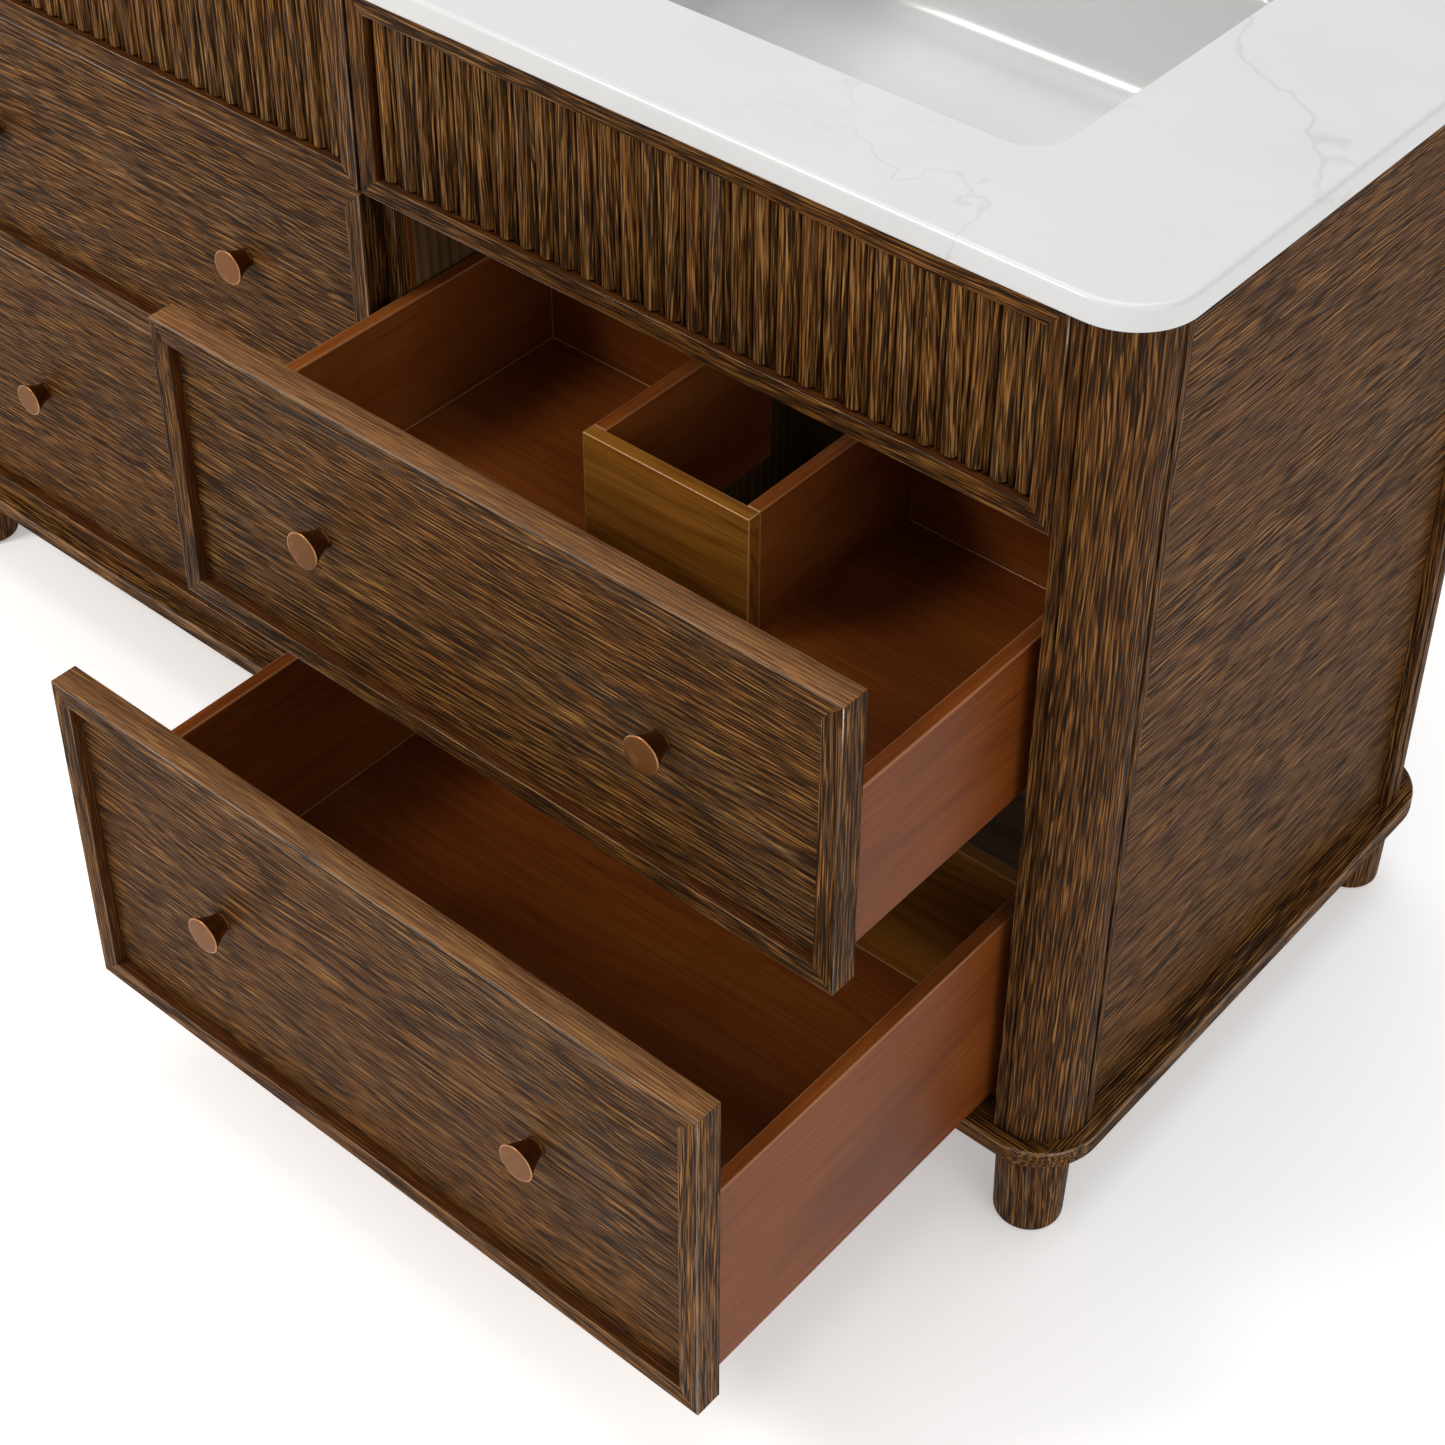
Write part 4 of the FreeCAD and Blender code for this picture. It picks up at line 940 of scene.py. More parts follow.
# --------------------------------------------------------------------------
# Fronts
# --------------------------------------------------------------------------
@dataclass
class MitredFrame:
    """Four mitred members round a front, square-edged with eased arrises."""

    node: str
    body: str
    seed: int
    width: float = 16.5 * MM
    outer_ease: float = 0.9 * MM
    inner_ease: float = 0.7 * MM
    seam: float = 0.10 * MM

    def section(self, thick: float) -> list[tuple[float, float]]:
        """Outline of a member: distance in from the outer edge, and depth from the face."""
        points = [(0.0, thick)]
        for k in range(4):
            angle = math.radians(30 * k)
            points.append(
                (
                    self.outer_ease * (1 - math.cos(angle)),
                    self.outer_ease * (1 - math.sin(angle)),
                )
            )
        for k in range(4):
            angle = math.radians(30 * k)
            points.append(
                (
                    self.width - self.inner_ease * (1 - math.sin(angle)),
                    self.inner_ease * (1 - math.cos(angle)),
                )
            )
        points.append((self.width, thick))
        return points

    def member(self, low: Vector, high: Vector, edge: str) -> Shape:
        """Build one member.

        Args:
            low: Lowest corner of the frame.
            high: Highest corner.
            edge: top, bottom, left or right.

        Returns:
            The member's shape.
        """
        shape = Shape()
        ends: list[Loop] = [[], []]
        upright = edge in ("left", "right")
        first, last = (low.z, high.z) if upright else (low.x, high.x)
        for inward, depth in self.section(high.y - low.y):
            across = {
                "left": low.x + inward,
                "right": high.x - inward,
                "bottom": low.z + inward,
                "top": high.z - inward,
            }[edge]
            for k, along in enumerate((first + inward + self.seam, last - inward - self.seam)):
                x, z = (across, along) if upright else (along, across)
                ends[k].append(Vector((x, low.y + depth, z)))
        band = shape.skin(ends)[0]
        # The eased arrises are painted paler: wear and painted highlight.
        shape.mark(band[1:4] + band[5:8], shape.wear_and_highlight)
        # The inner reveal face gets painted shade.
        shape.mark([band[8]], shape.shaded)
        # The top member's upper face gets a painted sheen.
        if edge == "top":
            shape.mark([band[0]], shape.painted_sheen)
        return shape

    def build(self) -> None:
        """Build the four members."""
        low, high = corners(self.node)
        for k, edge in enumerate(("top", "bottom", "left", "right")):
            grain = Grain.Z if edge in ("left", "right") else Grain.X
            piece = self.member(low, high, edge).finish(
                f"{self.node}_{edge}", Finish.OAK, grain, self.seed + k, weighted=True
            )
            ride(piece, self.body, "oak", self.node)


@dataclass
class ReededPanel:
    """Half-round reeds standing on a backing board behind the false front's frame."""

    side: str
    seed: int
    count: int = 30
    body: str = "carcass"
    reed_share: float = 0.68
    bead_share: float = 0.23
    end_gap: float = 1.5 * MM

    def reed(self, radius: float, low: Vector, high: Vector, back: float) -> bpy.types.Object:
        """One reed, centred on X = 0, with softened ends."""
        shape = Shape()
        loops = []
        steps = 12
        soft = 1.6 * MM
        for inset, z in (
            (soft, low.z),
            (soft * 0.35, low.z + soft * 0.3),
            (0.0, low.z + soft),
            (0.0, high.z - soft),
            (soft * 0.35, high.z - soft * 0.3),
            (soft, high.z),
        ):
            r = radius - inset * 0.6
            loop = [Vector((radius, back + 2 * MM, z)), Vector((-radius, back + 2 * MM, z))]
            loop += [
                Vector(
                    (
                        -r * math.cos(math.pi * k / steps),
                        back - r * math.sin(math.pi * k / steps),
                        z,
                    )
                )
                for k in range(steps + 1)
            ]
            loops.append(loop)
        shape.skin(loops)
        return shape.finish(
            f"reed_{self.side}_source", Finish.OAK, Grain.Z, 1, weighted=False, golden=2.6
        )

    def build(self) -> None:
        """Build the backing board and the row of reeds."""
        node = f"reeded_panel_{self.side}"
        low, high = corners(node)
        pitch = (high.x - low.x) / self.count
        radius = pitch * self.reed_share / 2
        back = low.y + radius
        backing = Shape()
        backing.box(Vector((low.x, back, low.z)), high, 0.3 * MM)
        piece = backing.finish(f"{node}_backing", Finish.OAK, Grain.Z, self.seed)
        ride(piece, self.body, "oak", node)
        clear = Vector((0, 0, self.end_gap))
        source = self.reed(radius, low + clear, high - clear, back)
        row = Row(
            f"{node}_reeds",
            source,
            Finish.OAK,
            Vector((low.x + pitch / 2, 0, 0)),
            Vector((pitch, 0, 0)),
            self.count,
            self.seed + 5,
            Grain.Z,
            0.12 * MM,
        ).build()
        ride(row, self.body, "oak", node)
        bead = self.edge_beads(low, high, pitch, radius, back)
        ride(bead, self.body, "oak", node)

    def edge_beads(
        self, low: Vector, high: Vector, pitch: float, radius: float, back: float
    ) -> bpy.types.Object:
        """Narrow round beads that fill the grooves between reeds."""
        shape = Shape()
        half = pitch * self.bead_share / 2
        rise = radius * 0.62
        loops = []
        for z in (low.z + self.end_gap, high.z - self.end_gap):
            loop = [Vector((half, back + 1 * MM, z)), Vector((-half, back + 1 * MM, z))]
            loop += [
                Vector(
                    (
                        -half * math.cos(math.pi * k / 8),
                        back - rise + half - half * math.sin(math.pi * k / 8),
                        z,
                    )
                )
                for k in range(9)
            ]
            loops.append(loop)
        shape.skin(loops)
        source = shape.finish(
            f"bead_{self.side}_source", Finish.OAK, Grain.Z, 3, weighted=False, golden=3.2
        )
        return Row(
            f"reeded_panel_{self.side}_quirks",
            source,
            Finish.OAK,
            Vector((low.x + pitch, 0, 0)),
            Vector((pitch, 0, 0)),
            self.count - 1,
            self.seed + 9,
            Grain.Z,
            0.3 * MM,
        ).build()


@dataclass
class Knobs:
    """A pair of flared knobs turned from one profile."""

    node: str
    body: str
    seed: int
    spacing: float = 314.6 * MM
    profile: tuple[tuple[float, float], ...] = (
        (8.2, 0.0),
        (8.0, 0.9),
        (7.7, 1.6),
        (7.9, 3.0),
        (8.6, 5.5),
        (9.7, 8.5),
        (11.1, 11.8),
        (12.6, 15.0),
        (14.0, 17.6),
        (14.9, 18.9),
        (15.2, 19.3),
        (15.2, 19.5),
        (15.0, 19.75),
        (14.7, 19.95),
        (14.2, 20.0),
        (9.0, 20.0),
        (3.0, 20.0),
    )

    def source(self, low: Vector, high: Vector) -> bpy.types.Object:
        """One knob on the left hand axis, its face towards -Y."""
        shape = Shape()
        height = (low.z + high.z) / 2
        reach = self.profile[-1][1]
        depth = high.y - low.y
        loops = []
        for radius, out in self.profile:
            y = high.y - out / reach * depth
            loops.append(
                [
                    Vector((p.x, y, height + p.y))
                    for p in circle(Vector(), radius * MM, 0.0, 56)
                ]
            )
        bands = shape.skin(loops)
        # The rim is painted paler: wear and painted highlight.
        rim = [face for band in bands[11:14] for face in band]
        shape.mark(rim, shape.wear_and_highlight)
        return shape.finish(f"{self.node}_source", Finish.BRONZE, Grain.Y, 1, weighted=False)

    def build(self) -> None:
        """Repeat the knob and fix the pair to its drawer."""
        low, high = corners(self.node)
        middle = (low.x + high.x) / 2
        pair = Row(
            f"{self.node}_turned",
            self.source(low, high),
            Finish.BRONZE,
            Vector((middle - self.spacing / 2, 0, 0)),
            Vector((self.spacing, 0, 0)),
            2,
            self.seed,
        ).build()
        ride(pair, self.body, "bronze", self.node)


# --------------------------------------------------------------------------
# Drawers
# --------------------------------------------------------------------------
@dataclass
class Drawer:
    """A drawer: framed front, flat panel, knobs and a box of thin boards."""

    level: str
    side: str
    seed: int
    seam_width: float = 1.1 * MM

    @property
    def name(self) -> str:
        """Level and side."""
        return f"{self.level}_{self.side}"

    @property
    def body(self) -> str:
        """The moving body."""
        return f"drawer_{self.name}"

    def front(self) -> None:
        """Build the frame, the flat panel and the knobs."""
        MitredFrame(f"{self.name}_front_frame", self.body, self.seed).build()
        board(
            f"{self.name}_front_panel",
            self.body,
            "oak",
            Finish.OAK,
            Grain.X,
            self.seed + 20,
            0.4 * MM,
        )
        Knobs(f"{self.name}_knobs", self.body, self.seed).build()

    def box(self) -> None:
        """Build the box's sides, front, back and floor."""
        for k, part in enumerate(("side_left", "side_right")):
            board(
                f"{self.name}_box_{part}",
                self.body,
                "drawer_wood",
                Finish.BOX,
                Grain.Y,
                self.seed + 30 + k,
                1.3 * MM,
            )
        board(
            f"{self.name}_box_front",
            self.body,
            "drawer_wood",
            Finish.BOX,
            Grain.X,
            self.seed + 33,
        )
        if self.level == "lower":
            finish = Finish.BOX_GOLD
            board(
                f"{self.name}_box_back", self.body, "drawer_wood", finish, Grain.X, self.seed + 34
            )
            board(
                f"{self.name}_box_floor",
                self.body,
                "drawer_wood",
                Finish.BOX,
                Grain.X_FLAT,
                self.seed + 35,
                0.3 * MM,
            )
        else:
            self.notched_back_and_floor()

    def notched_back_and_floor(self) -> None:
        """Build the split back, the pipe notch and the floor cut round it."""
        notch_low, notch_high = corners(f"{self.name}_pipe_notch")
        wall = 12.0 * MM
        back = f"{self.name}_box_back"
        low, high = corners(back)
        for k, (x0, x1) in enumerate(((low.x, notch_low.x), (notch_high.x, high.x))):
            shape = Shape()
            shape.box(Vector((x0, low.y, low.z)), Vector((x1, high.y, high.z)), 1.0 * MM)
            piece = shape.finish(f"{back}_{SIDES[k]}", Finish.BOX, Grain.X, self.seed + 40 + k)
            ride(piece, self.body, "drawer_wood", back)
        notch = f"{self.name}_pipe_notch"
        spans = (
            ("front", notch_low, Vector((notch_high.x, notch_low.y + wall, notch_high.z))),
            (
                "left",
                Vector((notch_low.x, notch_low.y + wall, notch_low.z)),
                Vector((notch_low.x + wall, notch_high.y, notch_high.z)),
            ),
            (
                "right",
                Vector((notch_high.x - wall, notch_low.y + wall, notch_low.z)),
                notch_high,
            ),
        )
        for k, (part, a, b) in enumerate(spans):
            shape = Shape()
            shape.box(a, b, 0.9 * MM)
            front = part == "front"
            piece = shape.finish(
                f"{notch}_{part}",
                Finish.BOX_GOLD if front else Finish.BOX,
                Grain.X if front else Grain.Y,
                self.seed + 44 + k,
            )
            ride(piece, self.body, "drawer_wood", notch)
        floor = f"{self.name}_box_floor"
        low, high = corners(floor)
        shape = Shape()
        outline = [
            (low.x, low.y),
            (high.x, low.y),
            (high.x, high.y),
            (notch_high.x, high.y),
            (notch_high.x, notch_low.y),
            (notch_low.x, notch_low.y),
            (notch_low.x, high.y),
            (low.x, high.y),
        ]
        shape.skin([[Vector((x, y, z)) for x, y in outline] for z in (low.z, high.z)])
        piece = shape.finish(
            f"{floor}_board", Finish.BOX, Grain.X_FLAT, self.seed + 48, weighted=False
        )
        piece.data.polygons.foreach_set("use_smooth", [False] * len(piece.data.polygons))
        ride(piece, self.body, "drawer_wood", floor)

    def glue_lines(self) -> None:
        """Thin pale lines of glue along the inner corners of the box."""
        left = corners(f"{self.name}_box_side_left")[1].x
        right = corners(f"{self.name}_box_side_right")[0].x
        front_high = corners(f"{self.name}_box_front")[1]
        back = corners(f"{self.name}_box_back")[0].y
        deck = corners(f"{self.name}_box_floor")[1].z
        front = front_high.y
        top = front_high.z - 1.5 * MM
        width = self.seam_width
        shape = Shape()
        for near, far in ((left, left + width), (right - width, right)):
            shape.box(Vector((near, front, deck)), Vector((far, back, deck + width)), width / 3, 1)
            for start, end in ((front, front + width), (back - width, back)):
                shape.box(Vector((near, start, deck)), Vector((far, end, top)), width / 3, 1)
        spans = [(left, right)]
        if self.level == "upper":
            notch_low, notch_high = corners(f"{self.name}_pipe_notch")
            spans = [(left, notch_low.x), (notch_high.x, right)]
        for start, end in spans:
            near, far = Vector((start, back - width, deck)), Vector((end, back, deck + width))
            shape.box(near, far, width / 3, 1)
        near, far = Vector((left, front, deck)), Vector((right, front + width, deck + width))
        shape.box(near, far, width / 3, 1)
        piece = shape.finish(f"{self.name}_glue_lines", Finish.GLUE, Grain.Y, self.seed + 60)
        ride(piece, self.body, "drawer_wood")

    def build(self) -> None:
        """Build the whole drawer."""
        self.front()
        self.box()
        self.glue_lines()


# --------------------------------------------------------------------------
# Carcass
# --------------------------------------------------------------------------
@dataclass
class CornerPost:
    """Square post with one quarter-round corner between two quirk grooves."""

    end: str
    side: str
    seed: int
    radius: float = 41.5 * MM
    quirk: float = 2.4 * MM

    def outline(self, width: float, depth: float) -> list[tuple[float, float]]:
        """Plan outline with the round corner at the far X, near Y."""
        start = width - self.radius
        points = [(0.0, 0.0), (start - self.quirk, 0.0)]
        points += [(start - self.quirk, self.quirk), (start, self.quirk), (start, 0.25 * MM)]
        steps = 18
        for k in range(steps + 1):
            angle = math.radians(90 * k / steps)
            points.append(
                (
                    start + self.radius * math.sin(angle),
                    self.radius * (1 - math.cos(angle)),
                )
            )
        lip = self.radius + 1.6 * self.quirk
        points += [
            (width - self.quirk, self.radius + 0.01 * MM),
            (width - self.quirk, lip),
            (width, lip),
            (width, depth),
            (0.0, depth),
        ]
        return points

    def build(self) -> None:
        """Extrude the outline, turned for its corner."""
        node = f"post_{self.end}_{self.side}"
        low, high = corners(node)
        size = high - low
        loops = []
        for z in (low.z, high.z):
            loop = []
            for x, y in self.outline(size.x, size.y):
                px = low.x + x if self.side == "right" else high.x - x
                py = low.y + y if self.end == "front" else high.y - y
                loop.append(Vector((px, py, z)))
            loops.append(loop)
        shape = Shape()
        shape.skin(loops)
        piece = shape.finish(f"{node}_turned", Finish.OAK, Grain.Z, self.seed, weighted=False)
        piece.data.set_sharp_from_angle(angle=math.radians(28))
        ride(piece, "carcass", "oak", node)


@dataclass
class Leg:
    """Short turned leg with a rounded foot."""

    end: str
    side: str
    seed: int
    foot: float = 5.0 * MM

    def build(self) -> None:
        """Turn the leg."""
        node = f"leg_{self.end}_{self.side}"
        low, high = corners(node)
        centre = (low + high) / 2
        top = (high.x - low.x) / 2
        base = top - 2.0 * MM
        loops = []
        for k in range(6):
            angle = math.radians(90 * k / 5)
            radius = base - self.foot * (1 - math.sin(angle))
            loops.append(circle(centre, radius, low.z + self.foot * (1 - math.cos(angle)), 64))
        loops.append(circle(centre, top, high.z, 64))
        shape = Shape()
        bands = shape.skin(loops)
        # Part of the rounded foot is painted paler: wear and painted highlight.
        shape.mark([face for band in bands[2:4] for face in band], shape.wear_and_highlight)
        piece = shape.finish(f"{node}_turned", Finish.OAK, Grain.Z, self.seed, weighted=False)
        piece.data.set_sharp_from_angle(angle=math.radians(40))
        ride(piece, "carcass", "oak", node)


@dataclass
class Carcass:
    """Posts, panels, rails, base board and legs."""

    seed: int
    base_corner: float = 53.5 * MM
    base_ease: float = 3.0 * MM
    base_rim: float = 75.0 * MM
    roll_degrees: tuple[float, ...] = (0.0, 15.0, 30.0, 45.0, 60.0, 75.0, 90.0)

    def base_board(self) -> None:
        """Base board with round corners and a rolled upper edge."""
        low, high = corners("base_board")
        centre = (low + high) / 2
        half = (high - low) / 2
        loops = []
        for degrees in self.roll_degrees:
            angle = math.radians(degrees)
            inset = self.base_ease * 0.6 * (1 - math.sin(angle))
            z = low.z + self.base_ease * 0.6 * (1 - math.cos(angle))
            loops.append(self._loop(centre, half, inset, z))
        for degrees in reversed(self.roll_degrees):
            angle = math.radians(degrees)
            inset = self.base_ease * (1 - math.sin(angle))
            z = high.z - self.base_ease * (1 - math.cos(angle))
            loops.append(self._loop(centre, half, inset, z))
        loops.insert(0, self._loop(centre, half, self.base_rim, low.z))
        loops.append(self._loop(centre, half, self.base_rim, high.z))
        shape = Shape()
        bands = shape.skin(loops)
        # The rolled upper edge is painted paler: wear and painted highlight.
        shape.mark([face for band in bands[9:12] for face in band], shape.wear_and_highlight)
        ends = []
        for face in shape.mesh.faces:
            middle = face.calc_center_median() - centre
            from_end = half.x - abs(middle.x)
            if from_end < half.y - abs(middle.y) and from_end < self.base_rim:
                ends.append(face)
        shape.mark(ends, shape.turned)
        piece = shape.finish("base_board_plank", Finish.OAK, Grain.X, self.seed + 1)
        ride(piece, "carcass", "oak", "base_board")

    def _loop(self, centre: Vector, half: Vector, inset: float, z: float) -> Loop:
        """One loop of the base board's edge."""
        return rounded_rectangle(
            centre, half.x - inset, half.y - inset, max(self.base_corner - inset, MM), z, 14
        )

    def partition(self) -> None:
        """Middle partition: veneered core with a solid lipping on its front edge."""
        node = "center_partition"
        low, high = corners(node)
        rail_front = corners("front_top_rail")
        rail_rear = corners("rear_top_rail")
        lip = 18.0 * MM
        cut = rail_front[0].z
        outline = [
            (low.y + lip, low.z),
            (high.y, low.z),
            (high.y, cut),
            (rail_rear[0].y, cut),
            (rail_rear[0].y, high.z),
            (rail_front[1].y, high.z),
            (rail_front[1].y, cut),
            (low.y + lip, cut),
        ]
        shape = Shape()
        shape.skin([[Vector((x, y, z)) for y, z in outline] for x in (low.x, high.x)])
        core = shape.finish(f"{node}_core", Finish.VENEER, Grain.Z, self.seed + 2, weighted=False)
        core.data.polygons.foreach_set("use_smooth", [False] * len(core.data.polygons))
        ride(core, "carcass", "carcass_wood", node)
        bands = (
            ("facing", 0.0, 12.0 * MM, Finish.OAK, 0.6 * MM),
            ("lipping", 12.0 * MM, 18.0 * MM, Finish.BOX, 0.5 * MM),
        )
        for k, (part, start, end, finish, ease) in enumerate(bands):
            shape = Shape()
            near = Vector((low.x, low.y + start, low.z))
            shape.box(near, Vector((high.x, low.y + end, cut)), ease)
            strip = shape.finish(f"{node}_{part}", finish, Grain.Z, self.seed + 3 + k)
            ride(strip, "carcass", "carcass_wood", node)

    def floor(self) -> None:
        """Carcass floor, wider between the posts."""
        node = "carcass_floor"
        low, high = corners(node)
        post = corners("post_front_right")
        rear = corners("post_rear_right")
        inner = post[0].x
        outline = [
            (-inner, low.y),
            (inner, low.y),
            (inner, post[1].y),
            (high.x, post[1].y),
            (high.x, rear[0].y),
            (inner, rear[0].y),
            (inner, high.y),
            (-inner, high.y),
            (-inner, rear[0].y),
            (low.x, rear[0].y),
            (low.x, post[1].y),
            (-inner, post[1].y),
        ]
        shape = Shape()
        shape.skin([[Vector((x, y, z)) for x, y in outline] for z in (low.z, high.z)])
        piece = shape.finish(
            f"{node}_board", Finish.VENEER, Grain.X_FLAT, self.seed + 4, weighted=False
        )
        piece.data.polygons.foreach_set("use_smooth", [False] * len(piece.data.polygons))
        ride(piece, "carcass", "carcass_wood", node)

    def build(self) -> None:
        """Build the whole carcass."""
        for k, end in enumerate(("front", "rear")):
            for j, side in enumerate(SIDES):
                CornerPost(end, side, self.seed + 10 + 2 * k + j).build()
                Leg(end, side, self.seed + 20 + 2 * k + j).build()
        for k, side in enumerate(SIDES):
            board(
                f"side_panel_{side}",
                "carcass",
                "oak",
                Finish.OAK,
                Grain.Y,
                self.seed + 30 + k,
            )
        for k, node in enumerate(("front_top_rail", "rear_top_rail", "back_panel")):
            board(node, "carcass", "carcass_wood", Finish.VENEER, Grain.X, self.seed + 40 + k)
        self.base_board()
        self.partition()
        self.floor()
        MitredFrame("false_front_frame_left", "carcass", self.seed + 50).build()
        MitredFrame("false_front_frame_right", "carcass", self.seed + 60).build()
        ReededPanel("left", self.seed + 70).build()
        ReededPanel("right", self.seed + 80).build()


# --------------------------------------------------------------------------
# Top, basins and drains
# --------------------------------------------------------------------------
@dataclass
class Countertop:
    """Stone slab with two sink openings and six faucet holes."""

    corner: float = 49.5 * MM
    top_ease: float = 4.0 * MM
    under_ease: float = 1.5 * MM
    opening: tuple[float, float, float] = (427.0 * MM, 305.0 * MM, 28.0 * MM)
    opening_ease: float = 2.0 * MM

    def arc(self, ease: float, steps: int = 6) -> list[tuple[float, float]]:
        """Inset and drop along a rounded upper edge, from the top down."""
        points = []
        for k in range(steps + 1):
            angle = math.radians(90 * k / steps)
            points.append((ease * (1 - math.sin(angle)), ease * (1 - math.cos(angle))))
        return points

    def build(self) -> None:
        """Build the slab from its edge, its openings and two filled faces."""
        low = corners("countertop_left")[0]
        high = corners("countertop_right")[1]
        centre = (low + high) / 2
        half = (high - low) / 2
        shape = Shape()
        upper: list[Any] = []
        lower: list[Any] = []

        def wall(loops: list[Loop]) -> list[Any]:
            """Skin a wall and remember its first and last loops for the faces."""
            before = len(shape.mesh.verts)
            bands = shape.skin(loops, cap=False)
            shape.mesh.verts.ensure_lookup_table()
            count = len(loops[0])
            first = shape.mesh.verts[before : before + count]
            last = shape.mesh.verts[-count:]
            for ring, store in ((first, upper), (last, lower)):
                for k in range(count):
                    edge = shape.mesh.edges.get((ring[k], ring[(k + 1) % count]))
                    store.append(edge)
            return bands

        outer = []
        for inset, drop in self.arc(self.top_ease):
            outer.append(
                rounded_rectangle(
                    centre, half.x - inset, half.y - inset, self.corner - inset, high.z - drop, 16
                )
            )
        for inset, drop in reversed(self.arc(self.under_ease, 3)):
            outer.append(
                rounded_rectangle(
                    centre, half.x - inset, half.y - inset, self.corner - inset, low.z + drop, 16
                )
            )
        wall(outer)
        width, depth, radius = self.opening
        for side in SIDES:
            bowl_low, bowl_high = corners(f"sink_basin_{side}")
            middle = (bowl_low + bowl_high) / 2
            loops = []
            for inset, drop in self.arc(self.opening_ease):
                loops.append(
                    rounded_rectangle(
                        middle,
                        width / 2 + inset,
                        depth / 2 + inset,
                        radius + inset,
                        high.z - drop,
                        12,
                    )
                )
            loops.append(rounded_rectangle(middle, width / 2, depth / 2, radius, low.z, 12))
            wall(loops)
        for mount in frame["record"]["mounts"]:
            if mount["name"].startswith("faucet_"):
                at = Vector(mount["pos_m"])
                r = mount["dims"]["r_mm"] * MM
                edge = 0.5 * MM
                wall(
                    [
                        circle(at, r + edge, high.z, 40),
                        circle(at, r, high.z - edge, 40),
                        circle(at, r, low.z, 40),
                    ]
                )
        bmesh.ops.triangle_fill(shape.mesh, edges=upper, use_beauty=True)
        bmesh.ops.triangle_fill(shape.mesh, edges=lower, use_beauty=True)
        piece = shape.finish("countertop_slab", Finish.QUARTZ)
        ride(piece, "carcass", "quartz", "countertop_left", "countertop_right")


@dataclass
class Basin:
    """Undermount basin: leaning walls, a round foot and a floor that falls to the drain."""

    side: str
    opening: tuple[float, float] = (427.0 * MM, 305.0 * MM)
    reveal: float = 3.0 * MM
    corner: float = 31.0 * MM
    depth: float = 121.0 * MM
    wall: float = 9.0 * MM
    round: float = 26.0 * MM
    draft: float = math.radians(3.0)
    flange_thick: float = 10.0 * MM
    drain: float = 22.5 * MM

    def profile(self, offset: float, floor: float, radius: float) -> list[tuple[float, float]]:
        """Inset and drop from the mouth to the start of the floor."""
        points = []
        lean = math.tan(self.draft)
        straight = floor - radius
        for k in range(7):
            drop = straight * k / 6
            points.append((offset + drop * lean, drop))
        for k in range(1, 11):
            angle = math.radians(90 * k / 10)
            points.append(
                (
                    offset + straight * lean + radius * (1 - math.cos(angle)),
                    straight + radius * math.sin(angle),
                )
            )
        return points

    def build(self) -> None:
        """Build the basin as one closed skin, inside first."""
        node = f"sink_basin_{self.side}"
        low, high = corners(node)
        middle = (low + high) / 2
        half_x = self.opening[0] / 2 + self.reveal
        half_y = self.opening[1] / 2 + self.reveal
        loops: list[Loop] = []

        def ring(inset: float, drop: float, corner: float) -> Loop:
            """A loop of the basin at an inset from the mouth."""
            return rounded_rectangle(
                middle, half_x - inset, half_y - inset, max(corner, 2 * MM), high.z - drop, 12
            )

        inner = self.profile(0.0, self.depth - 2.0 * MM, self.round)
        for inset, drop in inner:
            loops.append(ring(inset, drop, self.corner - inset * 0.2))
        last_inset, last_drop = inner[-1]
        for k in range(1, 9):
            t = k / 8
            inset_x = half_x - last_inset
            inset_y = half_y - last_inset
            hx = inset_x + (self.drain - inset_x) * t
            hy = inset_y + (self.drain - inset_y) * t
            corner = self.corner + (self.drain - self.corner) * t
            level = high.z - last_drop - 2.0 * MM * t
            loops.append(rounded_rectangle(middle, hx, hy, min(corner, hx, hy), level, 12))
        base = self.depth + self.wall
        loops.append(
            rounded_rectangle(middle, self.drain, self.drain, self.drain, high.z - base, 12)
        )
        outer = self.profile(-self.wall, base, self.round + self.wall)
        for inset, drop in reversed(outer):
            if drop > self.flange_thick:
                loops.append(ring(inset, drop, self.corner + self.wall - inset * 0.2))
        flange_x = (high.x - low.x) / 2
        flange_y = (high.y - low.y) / 2
        flange_corner = self.corner + 11 * MM
        neck = -self.wall + self.flange_thick * math.tan(self.draft)
        loops.append(ring(neck, self.flange_thick, self.corner + self.wall))
        for inset, drop in (
            (0.0, self.flange_thick),
            (0.0, 1.5 * MM),
            (0.4 * MM, 0.4 * MM),
            (1.5 * MM, 0.0),
        ):
            across, deep = flange_x - inset, flange_y - inset
            loops.append(
                rounded_rectangle(
                    middle, across, deep, flange_corner - inset, high.z - drop, 12
                )
            )
        shape = Shape()
        shape.skin(loops, cap=False, ring=True)
        piece = shape.finish(f"{node}_shell", Finish.GLAZE)
        ride(piece, "carcass", "porcelain", node)


def dress_plain_nodes() -> None:
    """Give the carried-over nodes their finishes."""
    for node, finish in (("drawer_runners", Finish.STEEL), ("sink_drains", Finish.CHROME)):
        piece = frame["nodes"][node]
        for slot in piece.material_slots:
            slot.material = finish.material()
        log.info("%s keeps its packed shape", node)


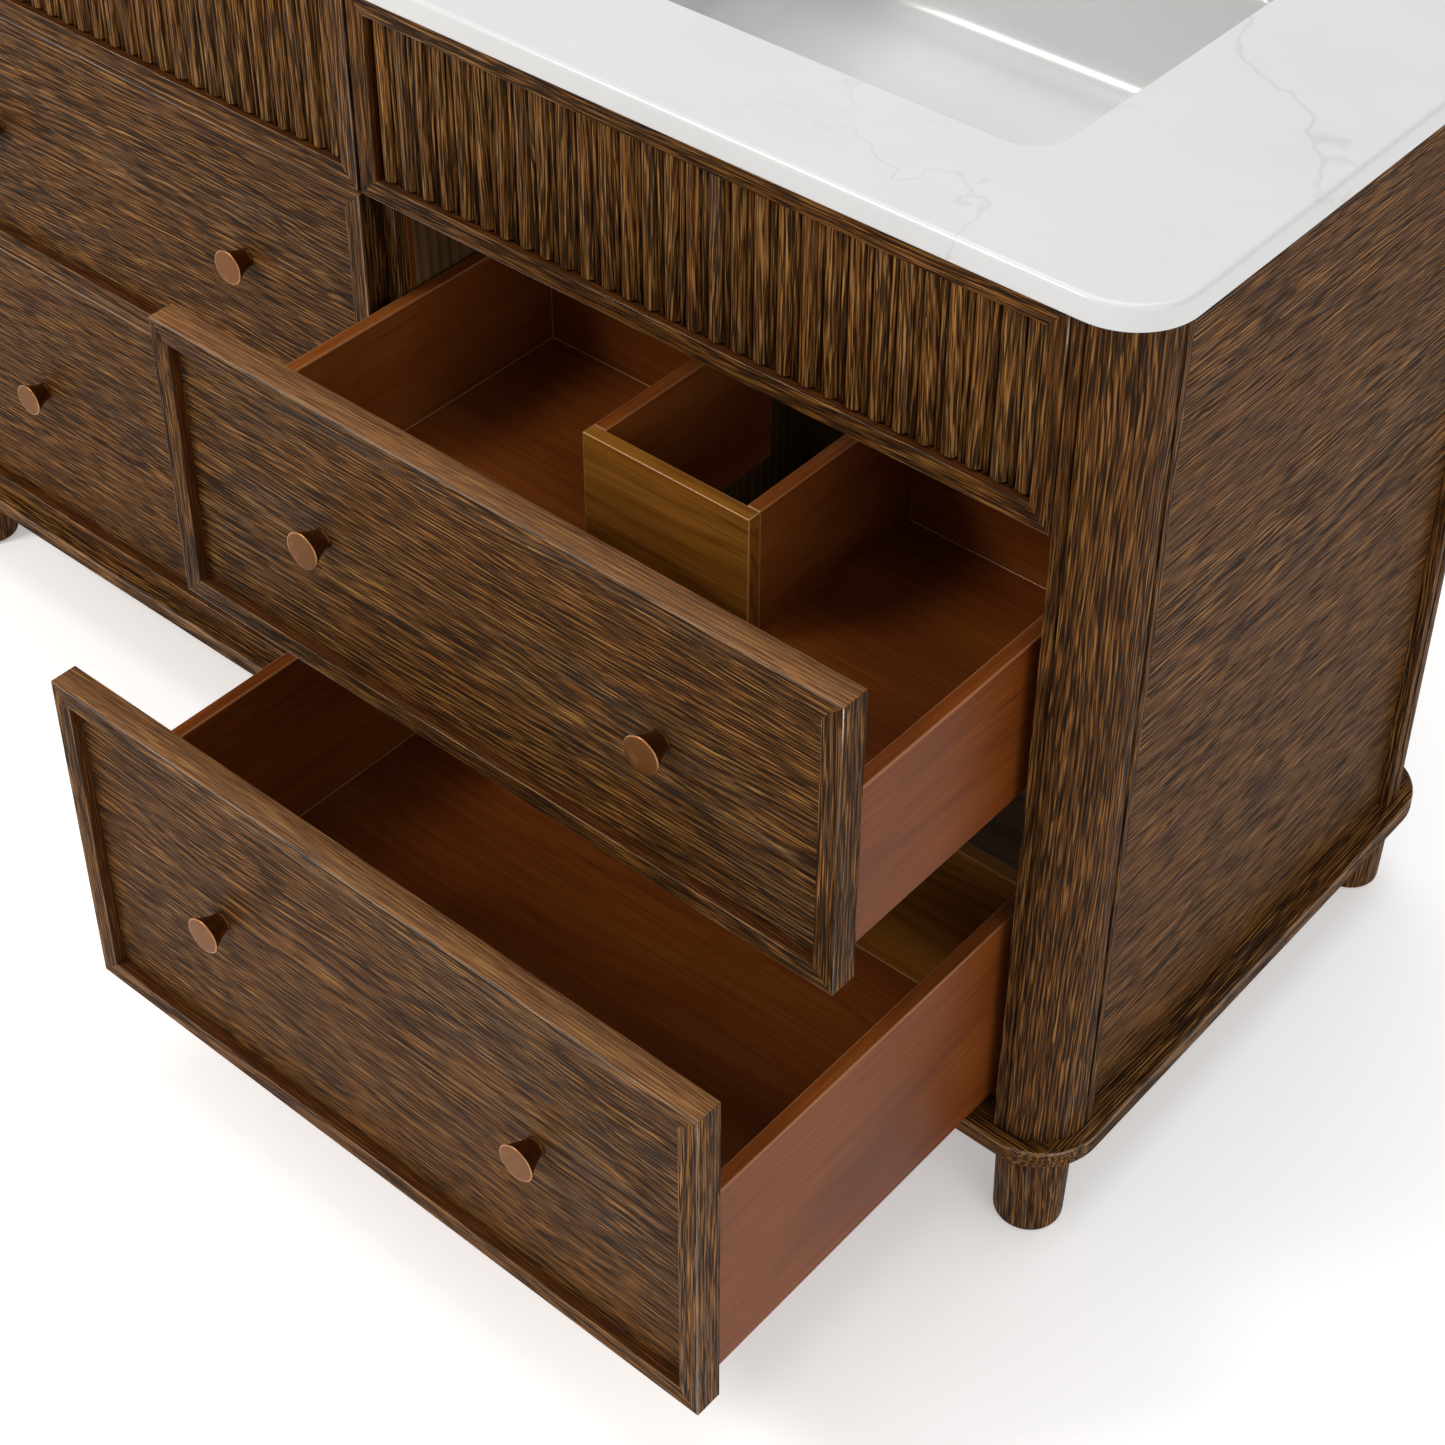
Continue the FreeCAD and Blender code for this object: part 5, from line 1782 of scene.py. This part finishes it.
# --------------------------------------------------------------------------
# Studio
# --------------------------------------------------------------------------
@dataclass
class Studio:
    """Floor, lights and camera."""

    eye: tuple[float, float, float] = (1.348, -1.174, 1.771)
    azimuth: float = 40.8
    elevation: float = 38.0
    lens: float = 69.8
    shift: tuple[float, float] = (0.014, -0.157)

    def lamp(
        self, name: str, at: Colour, aim: Colour, size: float, power: float, tint: Colour
    ) -> None:
        """Add one soft rectangular light.

        Args:
            name: The light's name.
            at: Its place.
            aim: The point it faces.
            size: Edge length.
            power: Watts.
            tint: Colour.
        """
        data = bpy.data.lights.new(name, "AREA")
        data.shape = "SQUARE"
        data.size = size
        data.energy = power
        data.color = tint
        lamp = bpy.data.objects.new(name, data)
        lamp.location = at
        lamp.rotation_euler = (Vector(aim) - Vector(at)).to_track_quat("-Z", "Y").to_euler()
        bpy.context.scene.collection.objects.link(lamp)

    def build(self) -> None:
        """Build the studio."""
        scene = bpy.context.scene
        scene.view_settings.view_transform = "Standard"
        mesh = bpy.data.meshes.new("studio_floor")
        reach = 14.0
        mesh.from_pydata(
            [(-reach, -reach, 0), (reach, -reach, 0), (reach, reach, 0), (-reach, reach, 0)],
            [],
            [(0, 1, 2, 3)],
        )
        mesh.materials.append(Finish.FLOOR.material())
        floor = bpy.data.objects.new("studio_floor", mesh)
        floor.location.z = -0.0005
        scene.collection.objects.link(floor)
        world = bpy.data.worlds.new("studio")
        world.use_nodes = True
        background = world.node_tree.nodes["Background"]
        background.inputs["Color"].default_value = (1.0, 1.0, 1.0, 1.0)
        background.inputs["Strength"].default_value = 0.50
        scene.world = world
        self.lamp("key", (-1.6, -2.6, 3.1), (0.1, 0.0, 0.45), 1.2, 85.0, (1.0, 0.96, 0.90))
        self.lamp("sky", (0.2, 0.4, 3.6), (0.2, 0.1, 0.5), 2.6, 45.0, (1.0, 1.0, 1.0))
        self.lamp("fill", (3.4, -1.0, 1.6), (0.4, 0.1, 0.45), 1.8, 26.0, (1.0, 0.98, 0.95))
        data = bpy.data.cameras.new("camera")
        data.sensor_width = 36.0
        data.lens = self.lens
        data.shift_x, data.shift_y = self.shift
        data.clip_start = 0.05
        camera = bpy.data.objects.new("camera", data)
        camera.location = self.eye
        camera.rotation_euler = (
            math.radians(90 - self.elevation),
            0.0,
            math.radians(self.azimuth),
        )
        scene.collection.objects.link(camera)
        scene.camera = camera


def write_sizes() -> None:
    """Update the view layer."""
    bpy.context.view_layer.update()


def main() -> None:
    """Build every sub-assembly, then the studio."""
    logging.basicConfig(level=logging.INFO, format="%(name)s: %(message)s")
    Carcass(seed=100).build()
    Countertop().build()
    for side in SIDES:
        Basin(side).build()
    dress_plain_nodes()
    seed = 1000
    for level in LEVELS:
        for side in SIDES:
            Drawer(level, side, seed).build()
            seed += 100
    Studio().build()
    write_sizes()


if __name__ == "__main__":
    main()
